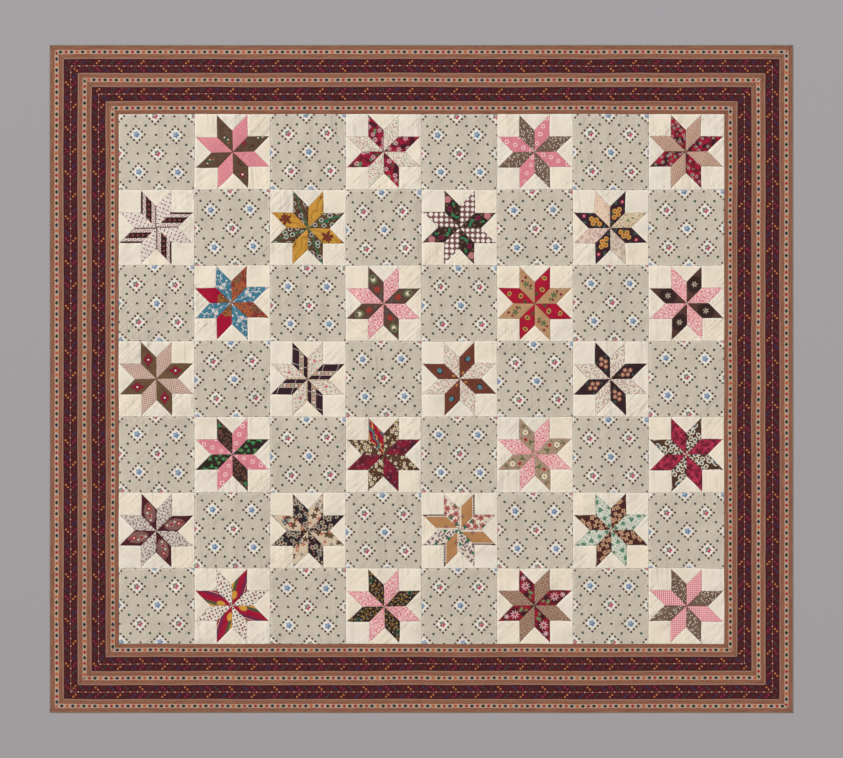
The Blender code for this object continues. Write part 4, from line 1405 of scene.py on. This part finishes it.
def border_colours(tree, at):
    """The striped print. The cloth's second coordinate runs in from the quilt's edge."""
    where = place(tree, "ShaderNodeSeparateXYZ", {0: at})
    along, inward = where[0], where[1]
    from_row = inward - FIRST_ROW
    off = from_row.step("PINGPONG", STRIPE_REPEAT / 2)
    crossed = from_row.step("WRAP", STRIPE_REPEAT / 2, -STRIPE_REPEAT / 2)

    def past(limit, fade=0.0006):
        """1 where the cloth is further than a limit from the row of diamonds."""
        beyond = (off - limit) / fade
        return (beyond + 0.5).clamped()

    def spot(u, v, wide, tall, sharp=700.0):
        """A lozenge with rounded sides round the origin of (u, v)."""
        far = u.step("ABSOLUTE") / wide + v.step("ABSOLUTE") / tall
        return ((1.0 - far) * (sharp * wide)).clamped()

    def disc(u, v, radius):
        """A dot round the origin of (u, v)."""
        far = (u * u + v * v).step("SQRT")
        inside = radius - far
        return inside.scaled(1100.0, 0.5).clamped()

    streak = clouds(tree, at, 1.0, stretch=(14, 420, 1))
    blotch = clouds(tree, at, 90.0)
    speck = clouds(tree, at, 240.0, 1.0)
    tan = mixed(tree, streak.scaled(2.4, -0.7).clamped(), dye(126, 75, 55), dye(156, 105, 80))

    # The cream ribbon that carries the diamonds is scalloped and blushed with pink.
    by_pitch = along.step("WRAP", DIAMOND_PITCH, 0.0)
    dark_u = along.step("WRAP", DIAMOND_PITCH, -DIAMOND_PITCH)
    bright_u = (along + DIAMOND_PITCH).step("WRAP", DIAMOND_PITCH, -DIAMOND_PITCH)
    scallop = (by_pitch * (2 * math.pi / DIAMOND_PITCH)).step("COSINE")
    rim = scallop.scaled(0.0007, 0.0068)
    blush = ((1.0 - bright_u.step("ABSOLUTE") / 0.009).clamped() * 1.3).clamped()
    cream = mixed(tree, blush * 0.75, dye(188, 163, 138), dye(176, 120, 103))
    cell = (along / (2 * DIAMOND_PITCH)).step("FLOOR")
    pick = place(tree, "ShaderNodeTexWhiteNoise", {"W": cell}, noise_dimensions="1D")["Value"]
    dark_cell = (along / (2 * DIAMOND_PITCH)).step("ROUND")
    dark_pick = place(tree, "ShaderNodeTexWhiteNoise", {"W": dark_cell + 0.37},
                      noise_dimensions="1D")["Value"]
    dark_ink = mixed(tree, dark_pick.step("GREATER_THAN", 0.5), dye(30, 42, 32), dye(34, 42, 62))
    bright_ink = mixed(tree, pick.step("GREATER_THAN", 0.6), dye(156, 26, 42), dye(182, 84, 40))
    row = mixed(tree, spot(bright_u, crossed, 0.0074, 0.0062, 500.0), cream, bright_ink)
    row = mixed(tree, spot(dark_u, crossed, 0.0086, 0.0070, 600.0), row, dark_ink)

    # The maroon band: blotched ground, a beaded line along its middle, flowers beside it.
    maroon = mixed(tree, blotch.scaled(3.0, -1.0).clamped(), dye(56, 13, 21), dye(84, 21, 26))
    maroon = mixed(tree, speck.scaled(9.0, -5.9).clamped(), maroon, dye(128, 34, 46))
    inner = crossed.step("LESS_THAN", 0.0)
    shifted = inner.scaled(3 * SPRIG_PITCH, along)
    turn = shifted / SPRIG_PITCH
    number = turn.step("FLOOR")
    in_six = number.step("WRAP", 6.0, 0.0) / 6.0
    flowers = place(tree, "ShaderNodeValToRGB", {0: in_six + 0.02})
    flowers.node.color_ramp.interpolation = "CONSTANT"
    inks = (dye(196, 124, 62), dye(40, 62, 48), dye(42, 72, 62), dye(146, 38, 74),
            dye(38, 56, 94), dye(40, 60, 50))
    for position, ink in enumerate(inks):
        stop = (flowers.node.color_ramp.elements[0] if position == 0
                else flowers.node.color_ramp.elements.new(position / 6))
        stop.color = ink
    flowers.node.color_ramp.elements.remove(flowers.node.color_ramp.elements[-1])
    flower = flowers[0]
    u = (turn - number - 0.5) * SPRIG_PITCH
    v = off - 0.0345
    lone = (in_six * 6.0 - 3.0).step("PINGPONG", 3.0).step("COMPARE", 2.0, 0.2)
    spread = 1.0 - lone
    upper = disc(u - spread * 0.004, v + spread * 0.0034, 0.0032)
    lower = disc(u + spread * 0.004, v - spread * 0.0034, 0.0032)
    maroon = mixed(tree, upper.step("MAXIMUM", lower) * 0.9, maroon, flower)
    maroon = mixed(tree, past(0.0462), maroon, dye(150, 88, 74))
    bead_u = along.step("WRAP", SPRIG_PITCH / 2, -SPRIG_PITCH / 2)
    bead = disc(bead_u, off - STRIPE_REPEAT / 2, 0.0023)
    maroon = mixed(tree, bead, maroon, dye(190, 162, 146))

    ribbon_end = (off - rim) / 0.0006
    colour = mixed(tree, (ribbon_end + 0.5).clamped(), row, tan)
    colour = mixed(tree, past(0.0192), colour, dye(152, 118, 100))
    return mixed(tree, past(0.0234), colour, maroon)


border_print = cloth_material("border_print", border_colours, line=0.35, slack=0.003)
cut_corners, field_corners, quilt_corners = (  # clockwise from the top left
    rectangle(*edges)[::-1] for edges in (
        (cut_left, cut_foot, cut_right, cut_top),
        (field_left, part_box("row_7")[0].z, field_right, field_top),
        (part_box("binding_left")[0].x, quilt_foot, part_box("binding_right")[1].x, quilt_top)))
SIDES = {}  # outline of the strip, both ends of the tape, way that they run along
for number, (name, run) in enumerate((("top", (1, 0)), ("right", (0, -1)),
                                      ("bottom", (-1, 0)), ("left", (0, 1)))):
    after = (number + 1) % 4
    SIDES[name] = ([cut_corners[number], field_corners[number], field_corners[after],
                    cut_corners[after]], quilt_corners[number], quilt_corners[after], run)
for name, (outline, start, _, run) in SIDES.items():
    inward = (run[1], -run[0])
    shape = new_cloth()
    faces = cut_patch(shape, outline, BORDER_CELL, TOP_SEAMS)
    cloth = shape.loops.layers.uv["Cloth"]
    for face in faces:
        for loop in face.loops:
            x, z = loop.vert.co.x - start[0], loop.vert.co.z - start[1]
            loop[cloth].uv = (x * run[0] + z * run[1], x * inward[0] + z * inward[1])
    lie_on_top(shape, turned=0.5, slack=0.7)
    turn_faces(shape, -1)
    strip = finish_cloth(f"strip_{name}", shape, [border_print])
    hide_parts(f"border_{name}")
    (x0, z0), (x1, z1), (x2, z2), (x3, z3) = outline
    long_side = math.hypot(x3 - x0, z3 - z0)
    short_side = math.hypot(x2 - x1, z2 - z1)
    deep = abs((x1 - x0) * inward[0] + (z1 - z0) * inward[1])
    (long_side + short_side) / 2 * deep


# ---------------------------------------------------------------- binding
# A narrow woven tape, folded over the raw edge of all the layers. It is stitched down on
# the face and hemmed by hand on the back, and its corners are mitred.

LAP_ON_FACE = 0.0054
LAP_ON_BACK = 0.010
FOLD = 0.0026  # radius of the tape's turn round the edge
TAPE_CELL = 0.02


def tape_colours(tree, at):
    """Faded grey-brown twill."""
    rib = place(tree, "ShaderNodeTexWave", {"Vector": at, "Scale": 260.0, "Distortion": 0.6},
                bands_direction="DIAGONAL")["Fac"]
    fade = clouds(tree, at, 14.0)
    worn = mixed(tree, fade, dye(124, 104, 88), dye(150, 128, 110))
    return mixed(tree, rib * 0.25, worn, dye(92, 78, 66))


tape = cloth_material("binding_tape", tape_colours, bump=0.8)
face_at, back_at = front_y - 0.0014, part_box("binding_top")[1].y
section = [(back_at - 0.0006, LAP_ON_BACK), (back_at, LAP_ON_BACK - 0.0008),
           (back_at, LAP_ON_BACK / 2)]  # in (depth, distance from the edge)
for step in range(5):
    angle = step * math.pi / 8
    section.append((back_at - FOLD + FOLD * math.cos(angle), FOLD - FOLD * math.sin(angle)))
for step in range(1, 5):
    angle = step * math.pi / 8
    section.append((face_at + FOLD - FOLD * math.sin(angle), FOLD - FOLD * math.cos(angle)))
section += [(face_at, LAP_ON_FACE - 0.0006), (face_at + 0.0005, LAP_ON_FACE)]
around = [0.0]
for (y0, w0), (y1, w1) in zip(section, section[1:]):
    around.append(around[-1] + math.hypot(y1 - y0, w1 - w0))
for name, (_, start, end, _) in SIDES.items():
    along = Vector(end) - Vector(start)
    length = along.length
    along.normalize()
    inward = Vector((along.y, -along.x))
    steps = round(length / TAPE_CELL)
    shape = new_cloth()
    cloth = shape.loops.layers.uv["Cloth"]
    distance = shape.verts.layers.float["seam"]
    rows = []
    for index in range(steps + 1):
        line = []
        for depth, w in section:
            reach = w + (length - 2 * w) * index / steps
            point = Vector(start) + along * reach + inward * w
            inside = Vector(start) + along * reach + inward * max(w, 0.001)
            vert = shape.verts.new((point.x, depth + hang(inside.x, inside.y), point.y))
            vert[distance] = 0.02
            line.append((vert, reach))
        rows.append(line)
    for first, second in zip(rows, rows[1:]):
        for index in range(len(section) - 1):
            ring = [(first[index], index), (first[index + 1], index + 1),
                    (second[index + 1], index + 1), (second[index], index)]
            face = shape.faces.new([vert for (vert, _), _ in ring])
            for loop, ((_, reach), place_in) in zip(face.loops, ring):
                loop[cloth].uv = (reach, around[place_in])
    bmesh.ops.recalc_face_normals(shape, faces=shape.faces)
    outer = max(shape.faces, key=lambda face: -face.calc_center_median().y)
    if outer.normal.y > 0:
        bmesh.ops.reverse_faces(shape, faces=shape.faces)
    piece = finish_cloth(f"tape_{name}", shape, [tape])
    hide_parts(f"binding_{name}")
